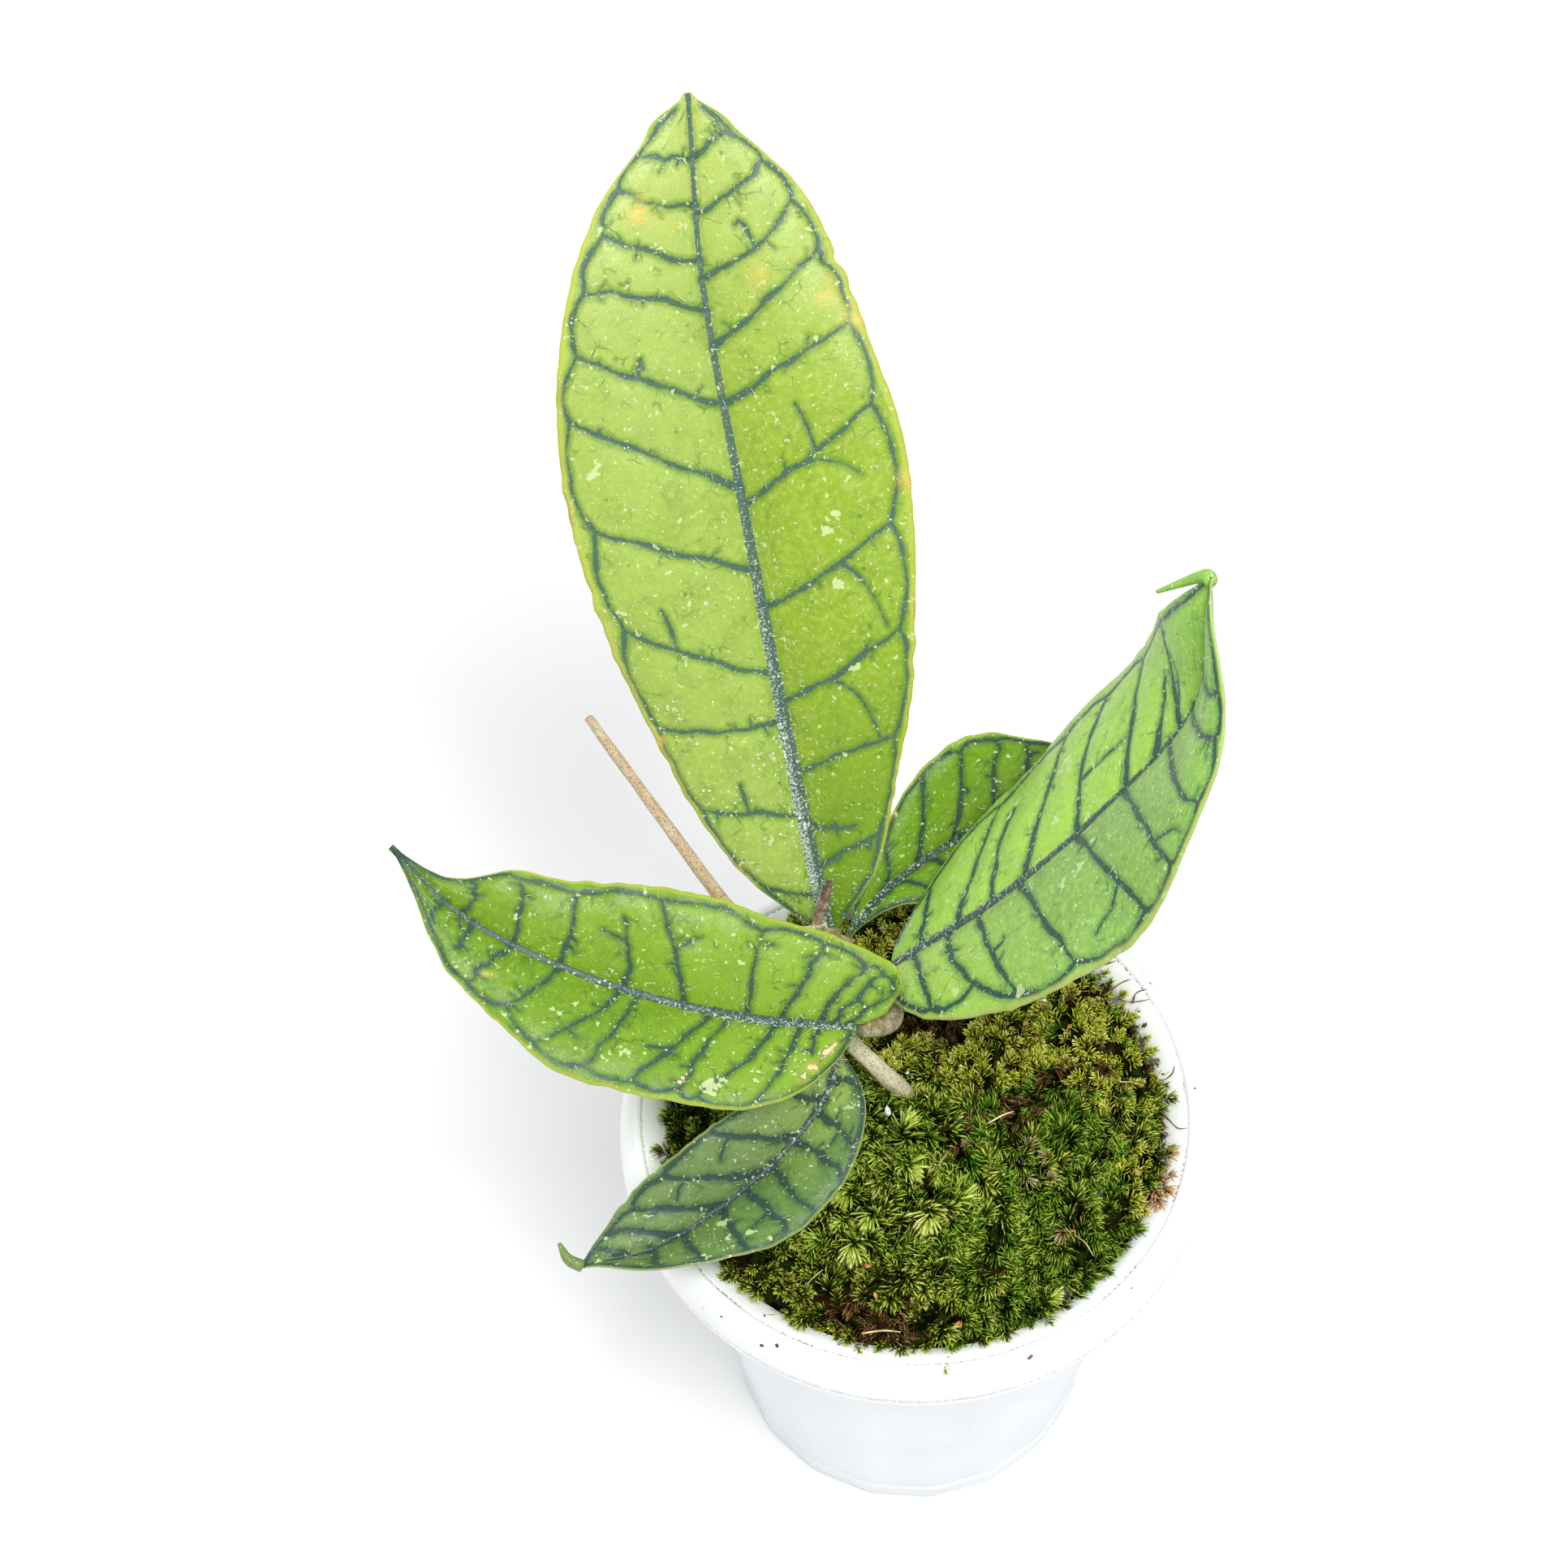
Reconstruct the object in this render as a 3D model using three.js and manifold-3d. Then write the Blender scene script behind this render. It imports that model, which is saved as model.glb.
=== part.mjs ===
// A potted hoya with dark-veined leaves: a faceted plastic pot, growing mix, a carpet of moss,
// one woody stem with a dry cut end, five thick leaves on short petioles and a dry flower stalk.
// Millimetres, +Z up, origin at the middle of the pot's flat base.

import * as THREE from 'three';
import { mergeVertices } from 'three/addons/utils/BufferGeometryUtils.js';
import Module from 'manifold-3d';

const wasm = await Module();
wasm.setup();
const { Manifold } = wasm;

// Driving dimensions

const gap = 0.3; // between pieces that touch

const pot = {
  facets: 18,
  facetTurn: -6.4, // degrees, where the first corner stands from the front
  baseRadius: 38, // over the corners
  footHeight: 6,
  footRadius: 39.6,
  topRadius: 50.6,
  topHeight: 100,
  wall: 1.3,
  floor: 1.8,
  rimRadius: 60,
  rimSides: 48,
  drainHoles: 6,
  drainRadius: 3.5,
  drainCircle: 24,
};

const mix = { top: 104 };

const moss = {
  radius: 50.1,
  footRadius: 48.6,
  edgeHeight: 108.6,
  dome: 4.2,
  rings: 9,
  sides: 40,
  shoots: 260,
  shootLength: [5.5, 9.5],
  shootRadius: 1.5,
  leafClearance: 5.5,
  // hummocks and hollows: place, height and spread
  humps: [
    { x: 5, y: 21, height: -6.5, spread: 9 },
    { x: -4, y: -15, height: 3.0, spread: 11 },
    { x: 30, y: -18, height: 2.2, spread: 14 },
    { x: 17, y: 3, height: -3.5, spread: 7 },
    { x: 36, y: 16, height: 1.8, spread: 10 },
    { x: -2, y: -38, height: 1.6, spread: 9 },
    { x: -20, y: 4, height: -2.5, spread: 8 },
    { x: -34, y: 20, height: 1.5, spread: 10 },
  ],
};

// Centre lines with a radius at each point: [x, y, z, radius]
const stemLine = [
  [-0.6, 0.8, 92, 2.2],
  [-1, 1.8, 112, 2.1],
  [-6, 5, 118.5, 1.9],
  [-11.6, 8.2, 124.9, 1.8],
  [-18.2, 12.4, 134.5, 2.4],
  [-27.4, 19.2, 144.8, 1.6],
  [-36.3, 25.1, 155.3, 1.35],
  [-47.3, 33.8, 172.9, 1.15],
  [-59.5, 43.3, 193.5, 0.9],
];

const petioles = {
  petiole_tall: [[-17.6, 13.6, 136.5, 2.2], [-16.8, 16.4, 140, 2.0], [-15.8, 20, 144, 2.0]],
  petiole_left: [
    [-16, 12.6, 134.6, 1.9], [-9.5, 13.4, 134.2, 1.8], [-4.4, 12.2, 134, 1.8],
    [-3.6, 9.2, 134, 1.8], [-6, 6.4, 135.4, 1.8], [-10, 4.6, 139, 1.8],
  ],
  petiole_front: [[-14.6, 8.8, 128.4, 1.8], [-14.7, 7.4, 129.2, 1.7], [-14.5, 6.2, 129.4, 1.6]],
  petiole_right: [[-16.4, 13.6, 134.6, 1.9], [-10, 17, 135, 1.8], [-4, 18.9, 136.4, 1.8]],
  petiole_behind: [[-16.6, 14.4, 136, 1.7], [-14.4, 18.6, 139, 1.5], [-12.6, 22.4, 142.3, 1.5]],
};

const flowerStalk = {
  stalk: [[-18.8, 14.8, 138.5, 1.0], [-18.4, 19, 151, 0.9], [-17.2, 21, 157, 1.0], [-15.3, 23.2, 163, 0.75]],
  bract: [[-21.1, 18.9, 153.8, 0.35], [-18.8, 19, 153.4, 0.6], [-16.2, 19.2, 154.4, 0.35]],
};

// Each blade: spine points from foot to tip, half-widths at even steps along it, and how its sides lie.
// face is the way the upper side looks. roll turns the blade about its spine and fold lifts each side,
// in degrees at foot, middle and tip. lobe swings a side back at the foot.
const blades = {
  leaf_tall: {
    spine: [[-15.5, 21, 145], [-22, 43.5, 181.5], [-28, 69.5, 216.5], [-34, 98.5, 250.5], [-35, 121, 277.5]],
    face: [0, -0.6, 0.8],
    roll: [7, 3, -9],
    left: { widths: [0, 12.5, 20, 25, 29, 31.5, 32.5, 30.5, 25.5, 16.5, 0], fold: [13, 11, 9], lobe: 0 },
    right: { widths: [0, 13, 19.5, 25.5, 29, 31.5, 32, 29, 25.5, 18.5, 0], fold: [14, 11, 7], lobe: 0 },
    stations: 18,
    waves: 3,
  },
  leaf_left: {
    spine: [[-11.3, 3.8, 140.4], [-34, 4, 146], [-60, 8.5, 154], [-84.5, 17.5, 164], [-99, 29, 174]],
    face: [0, -0.5, 0.85],
    roll: [-11, -9, -7],
    left: { widths: [3, 15, 20.5, 21, 21, 20.5, 15.5, 11, 4, 0], fold: [28, 19, 12], lobe: 0 },
    right: { widths: [10.5, 18.5, 20.5, 22, 21.5, 19, 15.5, 12.5, 3.5, 0], fold: [26, 16, 11], lobe: 61 },
    stations: 16,
    waves: 4,
  },
  leaf_front: {
    spine: [[-14.5, 5.5, 129.5], [-19.5, -6.5, 126.5], [-33.5, -20, 121.5], [-52, -31, 118], [-67.5, -34.5, 118]],
    face: [0, -0.3, 0.95],
    roll: [11, 2, -33],
    left: { widths: [0, 8, 13, 15, 15.5, 13.5, 11, 8, 0], fold: [21, 31, 48], lobe: 0 },
    right: { widths: [0, 8, 12.5, 14.5, 15, 14, 12.5, 9, 0], fold: [27, 29, 23], lobe: 0 },
    tip: [[-66.8, -34.3, 118.2, 1.3], [-69.5, -33.2, 119.5, 1.1], [-71, -31, 122, 0.4]],
    stations: 14,
    waves: 2,
  },
  leaf_right: {
    spine: [[-3.5, 19, 137], [16.5, 19, 160], [36, 22.5, 185], [52.5, 29, 210], [54, 39, 235]],
    face: [-0.6, -0.1, 0.78],
    roll: [16, 12, 18],
    left: { widths: [0, 17.5, 25, 29, 30.5, 31.5, 30.5, 25, 13.5, 0], fold: [7, -7, 11], lobe: 0 },
    right: { widths: [0, 19, 25.5, 29, 30.5, 32, 31, 25, 12.5, 0], fold: [16, 1, 22], lobe: 0 },
    tip: [[54, 38.6, 234.2, 1.3], [53, 41, 232.6, 1.2], [46, 45.5, 222.5, 0.4]],
    stations: 16,
    waves: 3,
  },
  leaf_behind: {
    spine: [[-12, 23.5, 142.5], [-1, 36.4, 141.6], [16, 48.4, 142], [30.5, 55.5, 144], [48, 61, 144.5]],
    face: [-0.3, -0.3, 0.9],
    roll: [-3, -22, -18],
    left: { widths: [0, 4.5, 9, 15.5, 19, 18.5, 11, 5, 0], fold: [20, 28, 24], lobe: 0 },
    right: { widths: [0, 3, 8, 14.5, 19, 18, 11, 5, 0], fold: [12, 15, 12], lobe: 0 },
    stations: 14,
    waves: 2,
  },
};

const blade = {
  thickness: 1.1,
  across: 3, // strips on each side of the spine
  bow: 0.07, // how far each half bulges, as a share of its width
  wave: 0.9, // height of the margin's waves
  lobeReach: 0.22, // share of the spine over which a lobe fades
  tipWidth: 0.7,
};

const colours = {
  pot: 0xf2f1ed,
  mix: 0x3b2c20,
  moss: 0x7f9a2e,
  bark: 0x9c8763,
  petiole: 0x8d8455,
  stalk: 0x8a6a5c,
  leafLight: 0x8fbf35,
  leaf: 0x6fa63c,
  leafDark: 0x4f8a36,
};

// Helpers

function seededRandom(seed) {
  let state = seed;
  return () => {
    state = (state * 1664525 + 1013904223) % 4294967296;
    return state / 4294967296;
  };
}

function toSolid(geometry) {
  const bare = geometry.clone();
  bare.deleteAttribute('normal');
  bare.deleteAttribute('uv');
  const merged = mergeVertices(bare, 1e-4);
  return new Manifold(new wasm.Mesh({
    numProp: 3,
    vertProperties: new Float32Array(merged.attributes.position.array),
    triVerts: new Uint32Array(merged.index.array),
  }));
}

function toGeometry(solid) {
  const mesh = solid.getMesh();
  const geometry = new THREE.BufferGeometry();
  geometry.setAttribute('position', new THREE.BufferAttribute(mesh.vertProperties, 3));
  geometry.setIndex(new THREE.BufferAttribute(mesh.triVerts, 1));
  return geometry;
}

function indexedGeometry(points, triangles) {
  const geometry = new THREE.BufferGeometry();
  geometry.setAttribute('position', new THREE.Float32BufferAttribute(points.flatMap((p) => [p.x, p.y, p.z]), 3));
  geometry.setIndex(triangles);
  return geometry;
}

// A closed ring or disc turned about Z from a radius and height profile, as a solid
function turned(profile, sides, turnDegrees = 0) {
  const points = profile.map(([radius, height]) => new THREE.Vector2(radius, height));
  const geometry = new THREE.LatheGeometry(points, sides);
  geometry.rotateX(Math.PI / 2);
  geometry.rotateZ(THREE.MathUtils.degToRad(turnDegrees));
  return toSolid(geometry);
}

// Rings of points joined into one closed skin, with flat ends
function loft(rings) {
  const size = rings[0].length;
  const triangles = [];
  for (let i = 0; i < rings.length - 1; i += 1) {
    for (let j = 0; j < size; j += 1) {
      const a = i * size + j;
      const b = i * size + ((j + 1) % size);
      triangles.push(a, b, b + size, a, b + size, a + size);
    }
  }
  const last = (rings.length - 1) * size;
  for (let j = 1; j < size - 1; j += 1) {
    triangles.push(0, j + 1, j);
    triangles.push(last, last + j, last + j + 1);
  }
  return toSolid(indexedGeometry(rings.flat(), triangles));
}

// A round rod along points with a radius at each, made larger all round by grow
function rod(line, { sides = 10, steps = 3, grow = 0 } = {}) {
  const curve = new THREE.CatmullRomCurve3(line.map(([x, y, z]) => new THREE.Vector3(x, y, z)));
  const count = (line.length - 1) * steps;
  const frames = curve.computeFrenetFrames(count, false);
  const rings = [];
  for (let i = 0; i <= count; i += 1) {
    const along = (i / count) * (line.length - 1);
    const low = Math.min(Math.floor(along), line.length - 2);
    const radius = THREE.MathUtils.lerp(line[low][3], line[low + 1][3], along - low) + grow;
    const centre = curve.getPointAt(i / count);
    if (i === 0) centre.addScaledVector(frames.tangents[i], -grow);
    if (i === count) centre.addScaledVector(frames.tangents[i], grow);
    const ring = [];
    for (let j = 0; j < sides; j += 1) {
      const angle = (j / sides) * 2 * Math.PI;
      ring.push(centre.clone()
        .addScaledVector(frames.normals[i], radius * Math.cos(angle))
        .addScaledVector(frames.binormals[i], radius * Math.sin(angle)));
    }
    rings.push(ring);
  }
  return loft(rings);
}

// Smooth value of an evenly spaced list at a share from 0 to 1 (Catmull-Rom)
function smoothAt(values, share) {
  const last = values.length - 1;
  const low = Math.min(Math.floor(share * last), last - 1);
  const f = share * last - low;
  const b = values[low];
  const c = values[low + 1];
  const a = low > 0 ? values[low - 1] : 2 * b - c;
  const d = low < last - 1 ? values[low + 2] : 2 * c - b;
  return 0.5 * (2 * b + (c - a) * f + (2 * a - 5 * b + 4 * c - d) * f * f + (3 * b - a - 3 * c + d) * f * f * f);
}

// A leaf blade: a thin folded sheet along its spine, split into triangles alike on both faces
function leafBlade(leaf) {
  const curve = new THREE.CatmullRomCurve3(
    leaf.spine.map((p) => new THREE.Vector3(...p)), false, 'catmullrom', 0.5,
  );
  const face = new THREE.Vector3(...leaf.face).normalize();
  const rings = [];
  for (let i = 0; i <= leaf.stations; i += 1) {
    const share = i / leaf.stations;
    const centre = curve.getPointAt(share);
    const along = curve.getTangentAt(share);
    const side0 = new THREE.Vector3().crossVectors(along, face).normalize();
    const roll = THREE.MathUtils.degToRad(smoothAt(leaf.roll, share));
    const side = side0.clone().applyAxisAngle(along, -roll);
    const up = new THREE.Vector3().crossVectors(side, along);
    const top = [];
    for (const [half, sign] of [[leaf.left, -1], [leaf.right, 1]]) {
      const width = Math.max(smoothAt(half.widths, share), blade.tipWidth);
      const fold = THREE.MathUtils.degToRad(smoothAt(half.fold, share));
      const back = THREE.MathUtils.degToRad(half.lobe) * Math.max(0, 1 - share / blade.lobeReach);
      const out = side.clone().multiplyScalar(sign * Math.cos(fold)).addScaledVector(up, Math.sin(fold));
      const reach = out.multiplyScalar(Math.cos(back)).addScaledVector(along, -Math.sin(back));
      const points = [];
      for (let j = 1; j <= blade.across; j += 1) {
        const u = j / blade.across;
        const wave = blade.wave * u * u * Math.sin(2 * Math.PI * leaf.waves * share + sign) * (width / 30);
        const bulge = 4 * blade.bow * width * u * (1 - u);
        points.push(centre.clone().addScaledVector(reach, width * u).addScaledVector(up, bulge + wave));
      }
      top.push(points);
    }
    const row = [...top[0].reverse(), centre, ...top[1]];
    const lift = up.clone().multiplyScalar(blade.thickness / 2);
    rings.push({ row, lift });
  }
  const columns = 2 * blade.across + 1;
  const points = [];
  for (const { row, lift } of rings) {
    for (const p of row) points.push(p.clone().add(lift));
    for (const p of row) points.push(p.clone().sub(lift));
  }
  const triangles = [];
  const stride = 2 * columns;
  const quad = (a, b, c, d) => triangles.push(a, b, c, a, c, d);
  for (let i = 0; i < leaf.stations; i += 1) {
    const here = i * stride;
    const next = here + stride;
    for (let j = 0; j < columns - 1; j += 1) {
      quad(here + j, here + j + 1, next + j + 1, next + j);
      const low = here + columns;
      const lowNext = next + columns;
      triangles.push(low + j, lowNext + j + 1, low + j + 1, low + j, lowNext + j, lowNext + j + 1);
    }
    quad(here, next, next + columns, here + columns);
    const edge = columns - 1;
    quad(here + edge, here + columns + edge, next + columns + edge, next + edge);
  }
  const last = leaf.stations * stride;
  for (let j = 0; j < columns - 1; j += 1) {
    quad(j, j + columns, j + columns + 1, j + 1);
    quad(last + j, last + j + 1, last + j + columns + 1, last + j + columns);
  }
  const sheet = toSolid(indexedGeometry(points, triangles));
  return leaf.tip ? sheet.add(rod(leaf.tip, { sides: 6 })) : sheet;
}

// Pieces

function makePot() {
  const bodyRadius = (height) => THREE.MathUtils.mapLinear(
    height, pot.footHeight, pot.topHeight, pot.footRadius, pot.topRadius,
  );
  const inner = (height) => bodyRadius(height) - pot.wall;
  const body = turned([
    [0, 0],
    [pot.baseRadius, 0],
    [pot.footRadius + 0.5, pot.footHeight - 0.6],
    [pot.footRadius, pot.footHeight],
    [pot.topRadius, pot.topHeight],
    [inner(pot.topHeight), pot.topHeight],
    [inner(pot.floor) - 0.6, pot.floor],
    [0, pot.floor],
  ], pot.facets, pot.facetTurn);
  // The rolled rim: inner wall, sloping lip, crease, round bead and skirt, open below
  const rim = turned([
    [48.9, 96.5],
    [50.5, 96.5],
    [52.4, 108],
    [56.4, 109.4],
    [58.4, 104.6],
    [56.4, 99.6],
    [56.4, 97.8],
    [57.2, 97.8],
    [58, 99.1],
    [59.4, 101.4],
    [pot.rimRadius, 104.4],
    [59.5, 107.8],
    [58.2, 110.4],
    [56.6, 111.8],
    [55.6, 111.9],
    [55.1, 111.4],
    [54.5, 111.4],
    [50.8, 108.9],
    [50.4, 108.2],
    [48.9, 96.5],
  ], pot.rimSides);
  const drains = [];
  for (let i = 0; i < pot.drainHoles; i += 1) {
    const angle = (i / pot.drainHoles) * 2 * Math.PI;
    const hole = new THREE.CylinderGeometry(pot.drainRadius, pot.drainRadius, 8, 16);
    hole.rotateX(Math.PI / 2);
    hole.translate(pot.drainCircle * Math.cos(angle), pot.drainCircle * Math.sin(angle), 0);
    drains.push(toSolid(hole));
  }
  return body.add(rim).subtract(Manifold.union(drains));
}

function makeMix() {
  const radiusAt = (height) => THREE.MathUtils.mapLinear(
    height, pot.footHeight, pot.topHeight, pot.footRadius, pot.topRadius,
  ) - pot.wall - gap - 0.4;
  return turned([
    [0, pot.floor + gap],
    [radiusAt(pot.floor) - 0.8, pot.floor + gap],
    [radiusAt(95), 95],
    [radiusAt(95) - 0.6, mix.top - 2],
    [30, mix.top],
    [0, mix.top],
  ], pot.facets, pot.facetTurn);
}

function mossHeight(x, y) {
  const radius = Math.hypot(x, y) / moss.radius;
  let height = moss.edgeHeight + moss.dome * (1 - radius * radius);
  for (const hump of moss.humps) {
    const away = ((x - hump.x) ** 2 + (y - hump.y) ** 2) / hump.spread ** 2;
    height += hump.height * Math.exp(-away) * (1 - radius ** 6);
  }
  return height + 0.7 * Math.sin(x * 0.61 + 1) * Math.cos(y * 0.53) * (1 - radius ** 6);
}

function mossBed() {
  const rings = [];
  const ringAt = (radius, heightAt) => {
    const ring = [];
    for (let j = 0; j < moss.sides; j += 1) {
      const angle = (j / moss.sides) * 2 * Math.PI;
      const x = radius * Math.cos(angle);
      const y = radius * Math.sin(angle);
      ring.push(new THREE.Vector3(x, y, heightAt(x, y)));
    }
    return ring;
  };
  const under = () => mix.top + gap;
  rings.push(ringAt(0.6, under), ringAt(moss.footRadius, under));
  for (let i = 0; i <= moss.rings; i += 1) {
    const radius = moss.radius - gap - (moss.radius - 1.2) * (i / moss.rings);
    rings.push(ringAt(radius, mossHeight));
  }
  return loft(rings);
}

// Moss shoots: short leaning spikes with roots sunk in the bed, kept clear of the leaves
function mossShoots(keepClear) {
  const random = seededRandom(7);
  const shoots = [];
  const golden = Math.PI * (3 - Math.sqrt(5));
  for (let i = 0; i < moss.shoots; i += 1) {
    const radius = (moss.radius - 2.6) * Math.sqrt((i + 0.5) / moss.shoots);
    const angle = i * golden + (random() - 0.5) * 0.4;
    const foot = new THREE.Vector3(radius * Math.cos(angle), radius * Math.sin(angle), 0);
    foot.z = Math.max(mossHeight(foot.x, foot.y) - 2, mix.top + 2 * gap);
    const length = 2 + THREE.MathUtils.lerp(...moss.shootLength, random());
    const outward = 0.2 + 0.3 * (radius / moss.radius);
    const lean = new THREE.Vector3(
      Math.cos(angle) * outward + (random() - 0.5) * 0.9,
      Math.sin(angle) * outward + (random() - 0.5) * 0.9,
      1,
    ).normalize();
    const tip = foot.clone().addScaledVector(lean, length);
    if (keepClear.some((p) => p.distanceTo(tip) < moss.leafClearance)) continue;
    const turn = random() * 2 * Math.PI;
    const base = [0, 1, 2].map((k) => foot.clone().add(new THREE.Vector3(
      moss.shootRadius * Math.cos(turn + k * 2 * Math.PI / 3),
      moss.shootRadius * Math.sin(turn + k * 2 * Math.PI / 3),
      0,
    )));
    shoots.push(toSolid(indexedGeometry([...base, tip], [0, 2, 1, 0, 1, 3, 1, 2, 3, 2, 0, 3])));
  }
  return shoots;
}

// Points spread over the blades and petioles, which the moss shoots keep away from
function pointsOn(solids) {
  return solids.flatMap((solid) => {
    const { vertProperties } = solid.getMesh();
    const points = [];
    for (let i = 0; i < vertProperties.length; i += 3) {
      points.push(new THREE.Vector3(vertProperties[i], vertProperties[i + 1], vertProperties[i + 2]));
    }
    return points;
  });
}

// Assembly

const plant = new THREE.Group();

function addPiece(name, solid, colour, roughness) {
  const material = new THREE.MeshStandardMaterial({ color: colour, roughness, metalness: 0 });
  const mesh = new THREE.Mesh(toGeometry(solid), material);
  mesh.name = name;
  plant.add(mesh);
}

const stem = rod(stemLine);
const stemRoom = rod(stemLine, { grow: gap });
const petioleSolids = [];
let taken = stemRoom; // where the stem and the petioles already made stand
for (const [name, line] of Object.entries(petioles)) {
  petioleSolids.push([name, rod(line).subtract(taken)]);
  taken = taken.add(rod(line, { grow: gap }));
}
const bladeColours = {
  leaf_tall: colours.leafLight,
  leaf_left: colours.leaf,
  leaf_front: colours.leafDark,
  leaf_right: colours.leaf,
  leaf_behind: colours.leafDark,
};
const bladeSolids = Object.entries(blades).map(([name, leaf]) => [
  name, leafBlade(leaf).subtract(taken),
]);

addPiece('pot', makePot(), colours.pot, 0.45);
addPiece('growing_mix', makeMix().subtract(stemRoom), colours.mix, 0.95);

const overMoss = pointsOn([...bladeSolids, ...petioleSolids].map(([, solid]) => solid));
const carpet = Manifold.union([mossBed(), ...mossShoots(overMoss)]);
addPiece('moss_carpet', carpet.subtract(stemRoom), colours.moss, 0.9);

addPiece('stem', stem, colours.bark, 0.8);
for (const [name, solid] of petioleSolids) addPiece(name, solid, colours.petiole, 0.7);
for (const [name, solid] of bladeSolids) addPiece(name, solid, bladeColours[name], 0.5);

const stalk = rod(flowerStalk.stalk, { sides: 8 }).add(rod(flowerStalk.bract, { sides: 6 }));
addPiece('flower_stalk', stalk.subtract(taken), colours.stalk, 0.8);

export default plant;
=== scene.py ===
import math
import random

import bmesh
import bpy
from mathutils import Matrix, Vector, kdtree, noise


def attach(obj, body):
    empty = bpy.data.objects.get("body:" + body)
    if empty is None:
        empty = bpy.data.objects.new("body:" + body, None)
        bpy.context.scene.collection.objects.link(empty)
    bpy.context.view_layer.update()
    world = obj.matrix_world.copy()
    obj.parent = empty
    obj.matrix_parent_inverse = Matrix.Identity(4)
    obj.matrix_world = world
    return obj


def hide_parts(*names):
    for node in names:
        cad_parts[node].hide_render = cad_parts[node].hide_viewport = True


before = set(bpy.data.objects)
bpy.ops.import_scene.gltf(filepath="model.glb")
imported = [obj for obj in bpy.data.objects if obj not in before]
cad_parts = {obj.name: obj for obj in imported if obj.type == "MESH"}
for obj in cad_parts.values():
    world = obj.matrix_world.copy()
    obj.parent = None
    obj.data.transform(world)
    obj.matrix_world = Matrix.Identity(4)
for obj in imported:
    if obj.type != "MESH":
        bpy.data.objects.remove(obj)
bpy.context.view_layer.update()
mm = 0.001  # the shapes below are worked out in millimetres and stored in metres
print("frame loaded,", len(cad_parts), "nodes")


# View

view = {
    "place": (-23.3, -304.6, 697.5),
    "elevation": 56.7,  # degrees that the view looks down
    "roll": -2.6,
    "lens": 74.53,
    "sensor": 36,
}


def makeCamera():
    down, roll = math.radians(view["elevation"]), math.radians(view["roll"])
    back = Vector((0, -math.cos(down), math.sin(down)))
    right = Vector((1, 0, 0))
    up = back.cross(right)
    turnedRight = right * math.cos(roll) + up * math.sin(roll)
    turnedUp = up * math.cos(roll) - right * math.sin(roll)
    lens = bpy.data.cameras.new("camera")
    lens.lens, lens.sensor_width = view["lens"], view["sensor"]
    camera = bpy.data.objects.new("camera", lens)
    camera.matrix_world = Matrix.Translation(Vector(view["place"]) * mm) @ Matrix(
        (turnedRight, turnedUp, back)).transposed().to_4x4()
    bpy.context.scene.collection.objects.link(camera)
    bpy.context.scene.camera = camera


# Small tools

def smoothStep(low, high, value):
    t = min(max((value - low) / (high - low), 0.0), 1.0)
    return t * t * (3 - 2 * t)


def between(low, high, share):
    return low + (high - low) * share


def smoothAt(values, share):
    # smooth value of an evenly spaced list, share from 0 to 1
    last = len(values) - 1
    low = min(int(share * last), last - 1)
    f = share * last - low
    b, c = values[low], values[low + 1]
    a = values[low - 1] if low > 0 else 2 * b - c
    d = values[low + 2] if low < last - 1 else 2 * c - b
    return 0.5 * (2 * b + (c - a) * f + (2 * a - 5 * b + 4 * c - d) * f * f
                  + (3 * b - a - 3 * c + d) * f ** 3)


class Line:
    # a smooth line through points, read by its share of length, with a frame that doesn't twist
    def __init__(self, points, count=160):
        self.points = [Vector(p[:3]) for p in points]
        self.count = count
        fine = [self.through(i / count) for i in range(count + 1)]
        reach = [0.0]
        for a, b in zip(fine, fine[1:]):
            reach.append(reach[-1] + (b - a).length)
        self.length = reach[-1]
        self.spots, j = [], 0
        for i in range(count + 1):
            want = self.length * i / count
            while j < count - 1 and reach[j + 1] < want:
                j += 1
            f = (want - reach[j]) / max(reach[j + 1] - reach[j], 1e-9)
            self.spots.append((fine[j].lerp(fine[j + 1], f), (j + f) / count))
        self.tangents = [self.slope(i) for i in range(count + 1)]
        side = self.tangents[0].orthogonal().normalized()
        self.sides = []
        for t in self.tangents:
            side = (side - t * side.dot(t)).normalized()
            self.sides.append(side)

    def through(self, share):
        return Vector([smoothAt([p[k] for p in self.points], share) for k in range(3)])

    def slope(self, i):
        a, b = self.spots[max(i - 1, 0)][0], self.spots[min(i + 1, self.count)][0]
        return (b - a).normalized()

    def at(self, share):
        # place, tangent, side and the share of the listed points passed
        x = min(max(share, 0.0), 1.0) * self.count
        i = min(int(x), self.count - 1)
        f = x - i
        (a, pa), (b, pb) = self.spots[i], self.spots[i + 1]
        tangent = self.tangents[i].lerp(self.tangents[i + 1], f).normalized()
        side = self.sides[i].lerp(self.sides[i + 1], f).normalized()
        return a.lerp(b, f), tangent, side, between(pa, pb, f)


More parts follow.
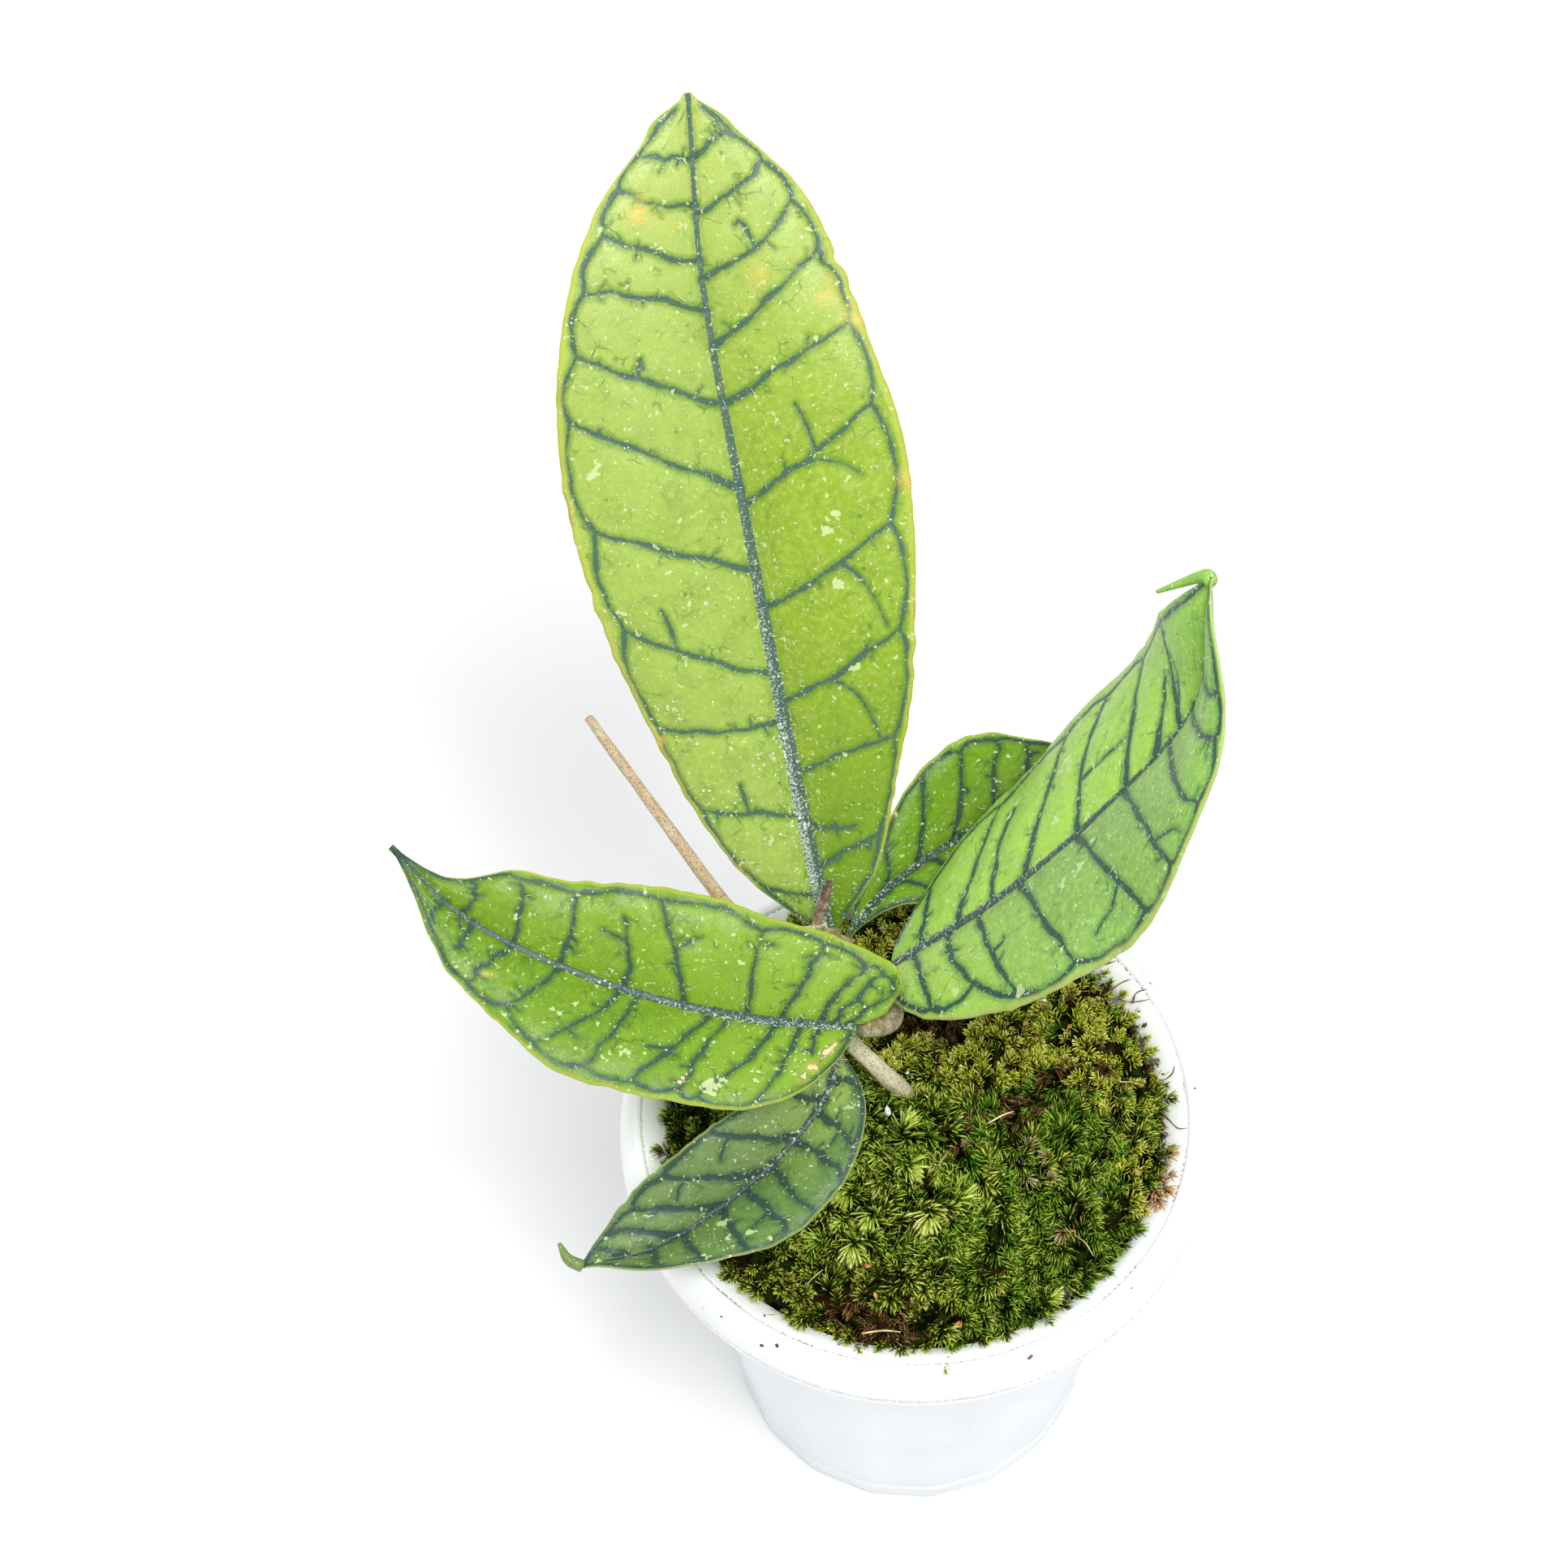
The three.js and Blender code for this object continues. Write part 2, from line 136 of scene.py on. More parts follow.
def addRod(bm, line, radii=None, around=12, step=0.8, relief=None, ends=None):
    # a round rod along a line: a grid rolled up. The fourth number of each point is the radius there, or else
    # radii of any count are spaced evenly along the rod
    path = Line(line)
    rows = max(2, int(path.length / step))
    grid = bmesh.ops.create_grid(bm, x_segments=rows, y_segments=around, size=1)["verts"]
    for v in grid:
        share, angle = (v.co.x + 1) / 2, (v.co.y + 1) * math.pi
        centre, tangent, side, passed = path.at(share)
        radius = smoothAt(radii, share) if radii else smoothAt([p[3] for p in line], passed)
        if relief:
            radius *= 1 + relief(share, angle, path.length)
        if ends:
            radius *= ends(share)
        right, ahead = side * (radius * math.cos(angle)), tangent.cross(side) * (radius * math.sin(angle))
        v.co = centre + right + ahead
    bmesh.ops.remove_doubles(bm, verts=grid, dist=1e-5)
    mine = {v for v in grid if v.is_valid}
    rims = [e for e in bm.edges if e.is_boundary and e.verts[0] in mine]
    bmesh.ops.holes_fill(bm, edges=rims, sides=0)
    bmesh.ops.recalc_face_normals(bm, faces=[f for f in bm.faces if f.verts[0] in mine])
    return mine


def placePiece(name, bm, looks, replaced=()):
    for v in bm.verts:
        v.co *= mm
    mesh = bpy.data.meshes.new(name)
    bm.to_mesh(mesh)
    bm.free()
    piece = bpy.data.objects.new(name, mesh)
    bpy.context.scene.collection.objects.link(piece)
    for look in looks:
        mesh.materials.append(look)
    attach(piece, "root")
    if replaced:
        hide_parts(*replaced)
    print(name, len(mesh.polygons), "faces")


def finishPiece(name, bm, looks, replaced=(), flat=False):
    for f in bm.faces:
        f.smooth = not flat
    placePiece(name, bm, looks, replaced)


def hexColour(text):
    # a screen colour such as "9cc123" as the linear values that a shader takes
    levels = [int(text[i:i + 2], 16) / 255 for i in (0, 2, 4)]
    return (*(v / 12.92 if v <= 0.04045 else ((v + 0.055) / 1.055) ** 2.4 for v in levels), 1)


class Look:
    # a material and short ways to wire its nodes
    def __init__(self, name, **constants):
        self.material = bpy.data.materials.new(name)
        self.material.use_nodes = True
        self.tree = self.material.node_tree
        self.shader = self.tree.nodes["Principled BSDF"]
        for socket, value in constants.items():
            self.shader.inputs[socket.replace("_", " ")].default_value = value
        self.coordinates = self.tree.nodes.new("ShaderNodeTexCoord").outputs["Object"]

    def node(self, kind, inputs, **settings):
        made = self.tree.nodes.new(kind)
        for key, value in settings.items():
            setattr(made, key, value)
        for key, value in inputs.items():
            if isinstance(value, bpy.types.NodeSocket):
                self.tree.links.new(value, made.inputs[key])
            elif value is not None:
                made.inputs[key].default_value = value
        return made

    def noise(self, scale, detail=3, stretch=None):
        place = self.coordinates
        if stretch:
            place = self.node("ShaderNodeMapping", {"Vector": place, "Scale": stretch}).outputs[0]
        pattern = {"Vector": place, "Scale": scale, "Detail": detail}
        return self.node("ShaderNodeTexNoise", pattern).outputs["Fac"]

    def warped(self, scale, amount):
        # coordinates pushed about by noise, amount in millimetres
        push = self.node("ShaderNodeTexNoise", {"Vector": self.coordinates, "Scale": scale}).outputs["Color"]
        push = self.node("ShaderNodeVectorMath", {0: push, "Scale": amount * mm}, operation="SCALE")
        both = {0: self.coordinates, 1: push.outputs[0]}
        return self.node("ShaderNodeVectorMath", both, operation="ADD").outputs[0]

    def cells(self, scale, place=None, feature="F1"):
        pattern = {"Vector": place or self.coordinates, "Scale": scale}
        return self.node("ShaderNodeTexVoronoi", pattern, feature=feature).outputs["Distance"]

    def value(self, name):
        return self.node("ShaderNodeAttribute", {}, attribute_name=name).outputs["Fac"]

    def calc(self, operation, a, b=None):
        return self.node("ShaderNodeMath", {0: a, 1: b}, operation=operation).outputs[0]

    def plus(self, a, b):
        return self.calc("ADD", a, b)

    def less(self, a, b):
        return self.calc("SUBTRACT", a, b)

    def times(self, a, b):
        return self.calc("MULTIPLY", a, b)

    def sway(self, pattern, amount):
        # a pattern from 0 to 1 as a push to both sides
        return self.times(self.less(pattern, 0.5), amount)

    def step(self, value, low, high, to=(0.0, 1.0)):
        # 0 at low and 1 at high, smooth between; low may be the larger
        if low > high:
            low, high, to = high, low, (to[1], to[0])
        return self.node("ShaderNodeMapRange", {
            "Value": value, "From Min": low, "From Max": high, "To Min": to[0], "To Max": to[1],
        }, interpolation_type="SMOOTHSTEP").outputs[0]

    def nearTo(self, value, line, fade, full):
        # 1 on a line, 0 further from it than fade
        return self.step(self.calc("ABSOLUTE", self.less(value, line)), fade, full)

    def mix(self, factor, a, b):
        made = self.node("ShaderNodeMix", {0: factor}, data_type="RGBA")
        for key, colour in ((6, a), (7, b)):
            if isinstance(colour, str):
                made.inputs[key].default_value = hexColour(colour)
            else:
                self.tree.links.new(colour, made.inputs[key])
        return made.outputs[2]

    def layers(self, colour, rows):
        # colours laid over each other. Each row: the pattern, where it starts and where it is full,
        # how strong, the colour, and any masks that hold it back
        for pattern, start, full, strength, over, *masks in rows:
            cover = self.step(pattern, start, full, (0, strength))
            for mask in masks:
                cover = self.times(cover, mask)
            colour = self.mix(cover, colour, over)
        return colour

    def finish(self, colour, roughness=None, bump=None, height=0.0):
        # height is that of the bump, in millimetres
        self.tree.links.new(colour, self.shader.inputs["Base Color"])
        if roughness is not None:
            self.tree.links.new(roughness, self.shader.inputs["Roughness"])
        if bump is not None:
            made = self.node("ShaderNodeBump", {"Height": bump, "Strength": 1.0, "Distance": height * mm})
            self.tree.links.new(made.outputs[0], self.shader.inputs["Normal"])
        return self.material


# Leaves

# Each blade: spine points from foot to tip in millimetres, the way its upper side faces, and for each half
# its widths at even steps, how far it folds up from foot to tip and how far its lobe turns back, in degrees.
# A place on a blade is its share of the length and how far across it lies, -1 and 1 being the margins.
# veins: share at the midrib, share at the outer end, reach. twigs: share, reach, share, reach.
# midrib: half-width at foot and tip. nicks: share, side, depth, length; a minus sign bulges.
# pale, scar, rust and dust: patches with share, across, radius. footFrom: where the foot's colour starts.
# colours: left and right are the two halves' greens. They differ partly in the leaf's own colour and partly
# by painted light, the paler half carrying the painted sheen and light that it catches.
blades = {
    "leaf_tall": {
        "spine": [(-15.5, 21, 145), (-22, 43.5, 181.5), (-28, 69.5, 216.5), (-34, 98.5, 250.5),
                  (-35, 121, 277.5)],
        "face": (0, -0.6, 0.8), "roll": [7, 3, -9], "waves": 3,
        "midrib": (1.5, 0.4), "veinWidth": 1.0, "frost": 0.22,
        "left": {
            "widths": [0, 12.5, 20, 25, 29, 31.5, 32.5, 30.5, 25.5, 16.5, 0], "fold": [13, 11, 9], "lobe": 0,
            "veins": [(0.06, 0.09, 0.88), (0.17, 0.205, 0.92), (0.29, 0.315, 0.93), (0.345, 0.435, 0.87),
                      (0.47, 0.555, 0.87), (0.565, 0.675, 0.92), (0.66, 0.745, 0.88), (0.765, 0.805, 0.88),
                      (0.82, 0.86, 0.84), (0.88, 0.905, 0.88), (0.93, 0.94, 0.93)],
            "twigs": [(0.70, 0.48, 0.72, 0.45), (0.40, 0.57, 0.455, 0.62), (0.20, 0.5, 0.225, 0.48)],
        },
        "right": {
            "widths": [0, 13, 19.5, 25.5, 29, 31.5, 32, 29, 25.5, 18.5, 0], "fold": [14, 11, 7], "lobe": 0,
            "veins": [(0.095, 0.14, 0.9), (0.16, 0.155, 0.6), (0.22, 0.26, 0.9), (0.31, 0.39, 0.9),
                      (0.425, 0.505, 0.86), (0.545, 0.635, 0.87), (0.66, 0.73, 0.9), (0.725, 0.82, 0.88),
                      (0.80, 0.88, 0.85), (0.87, 0.925, 0.87), (0.93, 0.955, 0.83)],
            "twigs": [(0.585, 0.30, 0.565, 0.72), (0.47, 0.55, 0.39, 0.82), (0.335, 0.43, 0.265, 0.78),
                      (0.61, 0.46, 0.65, 0.42), (0.845, 0.4, 0.86, 0.3)],
        },
        "nicks": [(0.805, 1, 0.9, 0.8), (0.975, 1, -1.2, 2.4), (0.972, -1, -2.2, 2.8)],
        "pale": [(0.51, 0.48, 2.4), (0.525, 0.54, 2.4), (0.45, 0.5, 2.0), (0.70, 0.37, 1.8),
                 (0.46, -0.86, 1.2), (0.62, -0.8, 2.0), (0.35, 0.6, 1.4)],
        "rust": [(0.88, -0.53, 5), (0.80, 0.40, 4), (0.77, 0.82, 5), (0.735, 0.97, 5), (0.86, -0.25, 3),
                 (0.12, -0.96, 3), (0.3, -1.0, 3), (0.55, 0.99, 4)],
        "dust": [(0.06, 0.0, 9), (0.16, -0.1, 8), (0.25, -0.08, 8), (0.21, -0.8, 8), (0.13, -0.85, 7),
                 (0.33, -0.85, 7), (0.40, -0.9, 5), (0.45, -0.1, 5), (0.35, 0.05, 5), (0.6, 0.0, 4),
                 (0.72, 0.0, 4), (0.82, -0.05, 3), (0.28, 0.8, 4), (0.08, 0.7, 5), (0.50, 0.9, 4)],
        "colours": {
            "left": "9bb54f", "right": "8eab2a", "tip": "b8ca72", "foot": "648e02", "light": "b0c35c",
            "halo": "4f7826", "vein": "3c5c50", "rib": "869688", "margin": "bbc44c", "under": "b4cf86",
        },
        "hairs": 420, "slot": "leaf_light",
    },
    "leaf_left": {
        "spine": [(-11.3, 3.8, 140.4), (-34, 4, 146), (-60, 8.5, 154), (-84.5, 17.5, 164), (-99, 29, 174)],
        "face": (0, -0.5, 0.85), "roll": [-11, -9, -7], "waves": 4,
        "midrib": (1.0, 0.4), "veinWidth": 0.9, "frost": 0.17,
        "left": {
            "widths": [3, 15, 20.5, 21, 21, 20.5, 15.5, 11, 4, 0], "fold": [28, 19, 12], "lobe": 0,
            "veins": [(0.01, 0.035, 0.9), (0.07, 0.10, 0.53), (0.11, 0.20, 0.93), (0.155, 0.30, 0.9),
                      (0.25, 0.335, 0.85), (0.285, 0.42, 0.86), (0.435, 0.50, 0.85), (0.47, 0.60, 0.88),
                      (0.595, 0.67, 0.75), (0.695, 0.74, 0.9), (0.785, 0.79, 0.57), (0.85, 0.85, 0.8)],
            "twigs": [(0.36, 0.45, 0.40, 0.5), (0.56, 0.5, 0.53, 0.62)],
        },
        "right": {
            "widths": [10.5, 18.5, 20.5, 22, 21.5, 19, 15.5, 12.5, 3.5, 0], "fold": [26, 16, 11], "lobe": 61,
            "veins": [(0.02, 0.03, 0.8), (0.05, 0.06, 0.8), (0.075, 0.085, 0.8), (0.155, 0.145, 0.87),
                      (0.22, 0.225, 0.84), (0.345, 0.45, 0.87), (0.465, 0.52, 0.66), (0.60, 0.625, 0.84),
                      (0.70, 0.745, 0.85), (0.81, 0.84, 0.9)],
            "twigs": [(0.50, 0.45, 0.55, 0.5), (0.38, 0.45, 0.34, 0.62)],
        },
        "nicks": [(0.0, 1, 5.0, 2.6), (0.0, -1, 1.5, 2.0), (0.05, 1, -2.6, 4.5)],
        "pale": [(0.28, -0.8, 3.0), (0.26, -0.7, 1.6), (0.06, -0.6, 1.0), (0.72, 0.35, 1.2)],
        "scar": [(0.05, -0.50, 0.9), (0.06, -0.56, 1.1), (0.07, -0.62, 1.0), (0.085, -0.68, 1.1),
                 (0.1, -0.74, 1.4), (0.12, -0.79, 1.2), (0.325, -0.70, 0.6), (0.33, -0.75, 0.6),
                 (0.335, -0.8, 0.6)],
        "rust": [(0.72, -0.58, 1.6), (0.10, -0.74, 2.2), (0.05, -0.53, 1.6), (0.12, -0.85, 1.6)],
        "dust": [(0.5, 0.0, 5), (0.62, 0.02, 4), (0.04, 0.3, 5), (0.15, 0.8, 4), (0.33, -0.8, 3),
                 (0.7, 0.4, 3), (0.12, -0.5, 7)],
        "footFrom": -1.0,
        "colours": {
            "left": "6f961f", "right": "7a9f1e", "tip": "628812", "foot": "8fb23a", "light": "8aaa2e",
            "halo": "3b6422", "vein": "2c4a42", "rib": "6b8a80", "margin": "b3c14a", "under": "a4c47c",
        },
        "hairs": 150, "slot": "leaf",
    },
    "leaf_front": {
        "spine": [(-14.5, 5.5, 129.5), (-19.5, -6.5, 126.5), (-33.5, -20, 121.5), (-52, -31, 118),
                  (-67.5, -34.5, 118)],
        "face": (0, -0.3, 0.95), "roll": [11, 2, -33], "waves": 2,
        "midrib": (0.75, 0.4), "veinWidth": 1.6, "frost": 0.1,
        "left": {
            "widths": [0, 8, 13, 15, 15.5, 13.5, 11, 8, 0], "fold": [21, 31, 48], "lobe": 0,
            "veins": [(0.10, 0.10, 0.9), (0.195, 0.215, 0.85), (0.30, 0.29, 0.92), (0.39, 0.40, 0.93),
                      (0.49, 0.48, 0.92), (0.575, 0.59, 0.93), (0.695, 0.69, 0.93), (0.8, 0.81, 0.9)],
            "twigs": [(0.22, 0.5, 0.26, 0.48), (0.52, 0.5, 0.55, 0.6)],
        },
        "right": {
            "widths": [0, 8, 12.5, 14.5, 15, 14, 12.5, 9, 0], "fold": [27, 29, 23], "lobe": 0,
            "veins": [(0.16, 0.22, 0.9), (0.29, 0.47, 0.92), (0.42, 0.67, 0.85), (0.56, 0.82, 0.78),
                      (0.71, 0.91, 0.68), (0.865, 0.94, 0.5)],
            "twigs": [(0.44, 0.7, 0.5, 0.5), (0.62, 0.6, 0.66, 0.42), (0.7, 0.6, 0.76, 0.45)],
        },
        "tip": [(-66.8, -34.3, 118.2, 1.3), (-69.5, -33.2, 119.5, 1.1), (-71, -31, 122, 0.4)],
        "nicks": [],
        "pale": [(0.60, -0.30, 2.2), (0.56, -0.62, 1.9), (0.62, -0.65, 1.8), (0.15, -0.6, 1.8),
                 (0.12, 0.3, 1.4)],
        "rust": [(0.03, 0.3, 3)],
        "dust": [(0.15, 0.0, 4), (0.3, 0.0, 3), (0.45, 0.1, 4), (0.6, 0.1, 3), (0.14, -0.8, 2)],
        "footFrom": -0.7,
        "colours": {
            "left": "638442", "right": "6f8750", "tip": "7a904e", "foot": "a0bb5c", "light": "7d9956",
            "halo": "386235", "vein": "2b433f", "rib": "66786e", "margin": "9db356", "under": "93b070",
        },
        "hairs": 130, "slot": "leaf_dark",
    },
    "leaf_right": {
        "spine": [(-3.5, 19, 137), (16.5, 19, 160), (36, 22.5, 185), (52.5, 29, 210), (54, 39, 235)],
        "face": (-0.6, -0.1, 0.78), "roll": [16, 12, 18], "waves": 3,
        "midrib": (1.05, 0.4), "veinWidth": 1.35, "frost": 0.14,
        "left": {
            "widths": [3, 14, 24.5, 29, 30.5, 31.5, 30.5, 24.5, 14.5, 0], "fold": [7, -7, 11], "lobe": 20,
            "veins": [(0.07, 0.12, 0.85), (0.16, 0.275, 0.84), (0.245, 0.315, 0.63), (0.325, 0.46, 0.84),
                      (0.46, 0.57, 0.82), (0.58, 0.69, 0.8), (0.65, 0.745, 0.4), (0.72, 0.84, 0.85)],
            "twigs": [(0.53, 0.30, 0.62, 0.30), (0.74, 0.1, 0.80, 0.5)],
        },
        "right": {
            "widths": [5, 16.2, 23.3, 28.2, 30.5, 32, 31, 25, 12.5, 0], "fold": [-4, -1, 22], "lobe": 38,
            "veins": [(0.05, 0.14, 0.9), (0.145, 0.21, 0.72), (0.215, 0.29, 0.91), (0.315, 0.415, 0.9),
                      (0.455, 0.57, 0.93), (0.575, 0.655, 0.93), (0.695, 0.745, 0.93), (0.77, 0.82, 0.88),
                      (0.84, 0.87, 0.88)],
            "twigs": [(0.525, 0.65, 0.465, 0.82), (0.64, 0.67, 0.70, 0.9), (0.25, 0.5, 0.28, 0.42)],
        },
        "tip": [(54, 38.6, 234.2, 1.3), (53, 41, 232.6, 1.2), (46, 45.5, 222.5, 0.4)],
        "nicks": [(0.0, 1, 3.0, 2.2), (0.0, -1, 2.2, 2.0)],
        "pale": [(0.45, -0.55, 2.2), (0.475, -0.56, 2.2), (0.43, 0.33, 1.8), (0.46, 0.34, 2.4),
                 (0.31, -0.6, 1.6), (0.325, -0.66, 2.0), (0.30, 0.88, 1.6), (0.29, 0.92, 1.4),
                 (0.7, -0.5, 1.4), (0.18, 0.75, 1.6)],
        "rust": [(0.53, 0.72, 0.8), (0.97, 0.0, 2)],
        "dust": [(0.46, -0.55, 4), (0.35, -0.9, 8), (0.22, -0.9, 6), (0.1, 0.6, 5), (0.42, 0.85, 7),
                 (0.3, 0.9, 4), (0.15, 0.2, 5), (0.75, 0.0, 4), (0.85, -0.2, 4)],
        "colours": {
            # foot: painted light, made paler where the blade's turned-down foot lies in shade
            "left": "a1cd51", "right": "89b25a", "tip": "90c74b", "foot": "b4da5b", "light": "b2da66",
            "halo": "447c43", "vein": "294545", "rib": "607c72", "margin": "aebf5c", "under": "a9c388",
        },
        "hairs": 220, "slot": "leaf",
    },
    "leaf_behind": {
        "spine": [(-12, 23.5, 142.5), (-1, 36.4, 141.6), (16, 48.4, 142), (30.5, 55.5, 144), (48, 61, 144.5)],
        "face": (-0.3, -0.3, 0.9), "roll": [-3, -22, -18], "waves": 2,
        "midrib": (0.9, 0.4), "veinWidth": 1.1, "frost": 0.12,
        "left": {
            "widths": [0, 4.5, 9, 15.5, 19, 18.5, 11, 5, 0], "fold": [20, 28, 24], "lobe": 0,
            "veins": [(0.18, 0.26, 0.88), (0.30, 0.42, 0.92), (0.425, 0.55, 0.85), (0.565, 0.66, 0.86),
                      (0.68, 0.73, 0.9), (0.8, 0.84, 0.85)],
            "twigs": [(0.48, 0.5, 0.51, 0.4)],
        },
        "right": {
            "widths": [0, 3, 8, 14.5, 19, 18, 11, 5, 0], "fold": [12, 15, 12], "lobe": 0,
            "veins": [(0.22, 0.3, 0.88), (0.34, 0.44, 0.9), (0.46, 0.57, 0.88), (0.6, 0.69, 0.86),
                      (0.74, 0.8, 0.88)],
            "twigs": [(0.5, 0.4, 0.54, 0.5)],
        },
        "nicks": [],
        "pale": [(0.5, -0.3, 0.9)],
        "rust": [(0.3, -1.0, 2)],
        "dust": [(0.5, 0.0, 4), (0.35, -0.3, 4)],
        "colours": {
            "left": "6a9214", "right": "6a9117", "tip": "749e2b", "foot": "648c0f", "light": "82a524",
            "halo": "33611f", "vein": "243e34", "rib": "5b7060", "margin": "9fb84a", "under": "8fb068",
        },
        "hairs": 70, "slot": "leaf_dark",
    },
}
blade = {
    "thickness": 1.1,
    "thinEnds": (12, 14),  # the larger, the sooner the blade is at full thickness from foot and tip
    "leastThickness": (0.12, 0.25),  # at the margin and at the ends, as squared shares
    "bow": 0.07,  # how far each half bulges, as a share of its width
    "wave": 0.9,
    "lobeReach": 0.22,  # share of the length that the foot's lobes take
    "ragged": 0.45,  # small in-and-out of the margin
    "raggedPace": 0.3,
    "tipWidth": 0.7,
    "cell": 1.15,  # size of the sheet's squares, before they are cut finer along the veins
    "fineBand": 1.25,  # how far from a vein the squares are cut finer
    "groove": 0.14,
    "quilt": 0.38,  # how far the blade swells between veins
    "quiltReach": 4.5,
    "quiltBelow": 0.7,  # the same below, as a share of that above
    "ripple": 0.1,
    "crest": 0.35,  # height of the midrib over the furrow beside it
    "furrow": 0.3,
    "keel": 1.3,  # how far the midrib stands out below
    "underGroove": 0.15,
}
veins = {
    "steps": 18, "half": (0.5, 0.3),  # half-width at the midrib and at the outer end
    "bow": 0.01, "wander": 0.9, "knots": 0.55,  # bends to one side, strays from its line, thickens and thins
    "spurs": 3, "spurLength": (0.7, 2.6), "spurLean": 0.06, "spurHalf": (0.14, 0.34), "spurTaper": 0.85,
    "longVein": 0.7,  # a side vein that reaches further than this joins the vein along the margin
    "marginSteps": 12, "marginHalf": 0.33, "marginOut": 0.06, "marginSway": 0.02, "marginLimit": 0.965,
    "marginFoot": (0.03, 0.8), "marginTip": (0.985, 0.6), "thinBeyond": (0.05, 0.95), "thinEnd": 0.75,
    "twigSteps": 10, "twigHalf": (0.34, 0.14), "twigBend": 0.014, "twigWander": 1.4,
    "spacing": 0.12,  # of the points that the distance to a vein is measured from
}


class BladeShape:
    # where a point of a blade lies, from its share along the spine and its place across, -1 to 1
    def __init__(self, leaf):
        self.leaf = leaf
        self.path = Line(leaf["spine"], 240)
        self.length = self.path.length
        self.face = Vector(leaf["face"]).normalized()
        self.stations = {}

    def half(self, sign):
        return self.leaf["right"] if sign > 0 else self.leaf["left"]

    def width(self, share, sign):
        width = max(smoothAt(self.half(sign)["widths"], share), blade["tipWidth"])
        place = (share * self.length * blade["raggedPace"], 5.0 * sign, 0)
        width += blade["ragged"] * noise.noise(place) * min(1, width / 6)
        for at, side, depth, reach in self.leaf["nicks"]:
            if side == sign:
                width -= depth * math.exp(-((share - at) * self.length / reach) ** 2)
        return width

    def station(self, share):
        key = round(share, 6)
        if key not in self.stations:
            centre, along = self.path.at(share)[:2]
            side0 = along.cross(self.face).normalized()
            roll = math.radians(-smoothAt(self.leaf["roll"], share))
            side = (Matrix.Rotation(roll, 3, along) @ side0).normalized()
            up = side.cross(along)
            halves = {}
            for sign in (-1, 1):
                fold = math.radians(smoothAt(self.half(sign)["fold"], share))
                back = math.radians(self.half(sign)["lobe"]) * max(0, 1 - share / blade["lobeReach"])
                out = side * (sign * math.cos(fold)) + up * math.sin(fold)
                width = self.width(share, sign)
                wave = blade["wave"] * math.sin(2 * math.pi * self.leaf["waves"] * share + sign) * width / 30
                halves[sign] = (out * math.cos(back) - along * math.sin(back), width, wave)
            self.stations[key] = (centre, up, halves)
        return self.stations[key]

    def point(self, share, across, lift):
        centre, up, halves = self.station(share)
        reach, width, wave = halves[1 if across > 0 else -1]
        u = abs(across)
        rise = 4 * blade["bow"] * width * u * (1 - u) + wave * u * u + lift
        return centre + reach * (width * u) + up * rise

    def flat(self, share, across):
        # the same point on the blade pressed flat, in millimetres
        sign = 1 if across > 0 else -1
        return share * self.length, across * self.station(share)[2][sign][1]


def sideVein(shape, foot, end, reach, bow, seed):
    # from the midrib outwards, as points: share, across, half-width
    route = []
    for i in range(veins["steps"] + 1):
        t = i / veins["steps"]
        share = between(foot, end, t) + veins["bow"] * math.sin(math.pi * t) * bow
        share += veins["wander"] / shape.length * noise.noise((t * 5, seed, 0)) * min(1, t * 6)
        knots = 1 + veins["knots"] * noise.noise((t * 7, seed, 5))
        route.append((share, reach * t, between(*veins["half"], t) * shape.leaf["veinWidth"] * knots))
    return route


def spur(shape, route, chance):
    # a short branch of a side vein that fades out
    share, across, _ = route[chance.randint(3, veins["steps"] - 1)]
    out = chance.choice((-1, 1)) * chance.uniform(*veins["spurLength"]) / shape.length
    lean, half = chance.uniform(-veins["spurLean"], veins["spurLean"]), chance.uniform(*veins["spurHalf"])
    return [(share + out * t, across + lean * t * t, half * (1 - veins["spurTaper"] * t))
            for t in (0, 0.35, 0.7, 1)]


def marginVein(shape, sign, start, end, seed):
    # the arch that joins the outer ends of two side veins
    route = []
    foot, tip = veins["thinBeyond"]
    thin = veins["thinEnd"] if start[0] < foot or end[0] > tip else 1.0
    for i in range(veins["marginSteps"] + 1):
        t = i / veins["marginSteps"]
        across = between(start[1], end[1], t) + veins["marginOut"] * 4 * t * (1 - t)
        across += veins["marginSway"] * noise.noise((t * 4, seed, 0)) * min(1, 6 * t, 6 * (1 - t))
        half = veins["marginHalf"] * thin * (1 + 0.5 * noise.noise((t * 6, seed, 5)))
        across = sign * min(across, veins["marginLimit"])
        route.append((between(start[0], end[0], t), across, half * shape.leaf["veinWidth"]))
    return route


def twigVein(shape, foot, end, seed):
    # a thin vein between side veins
    route = []
    for i in range(veins["twigSteps"] + 1):
        t = i / veins["twigSteps"]
        bend = veins["twigBend"] * math.sin(math.pi * t)
        bend += veins["twigWander"] / shape.length * noise.noise((t * 4, seed, 0)) * t
        share, across = between(foot[0], end[0], t) + bend, between(foot[1], end[1], t)
        route.append((share, across, between(*veins["twigHalf"], t)))
    return route


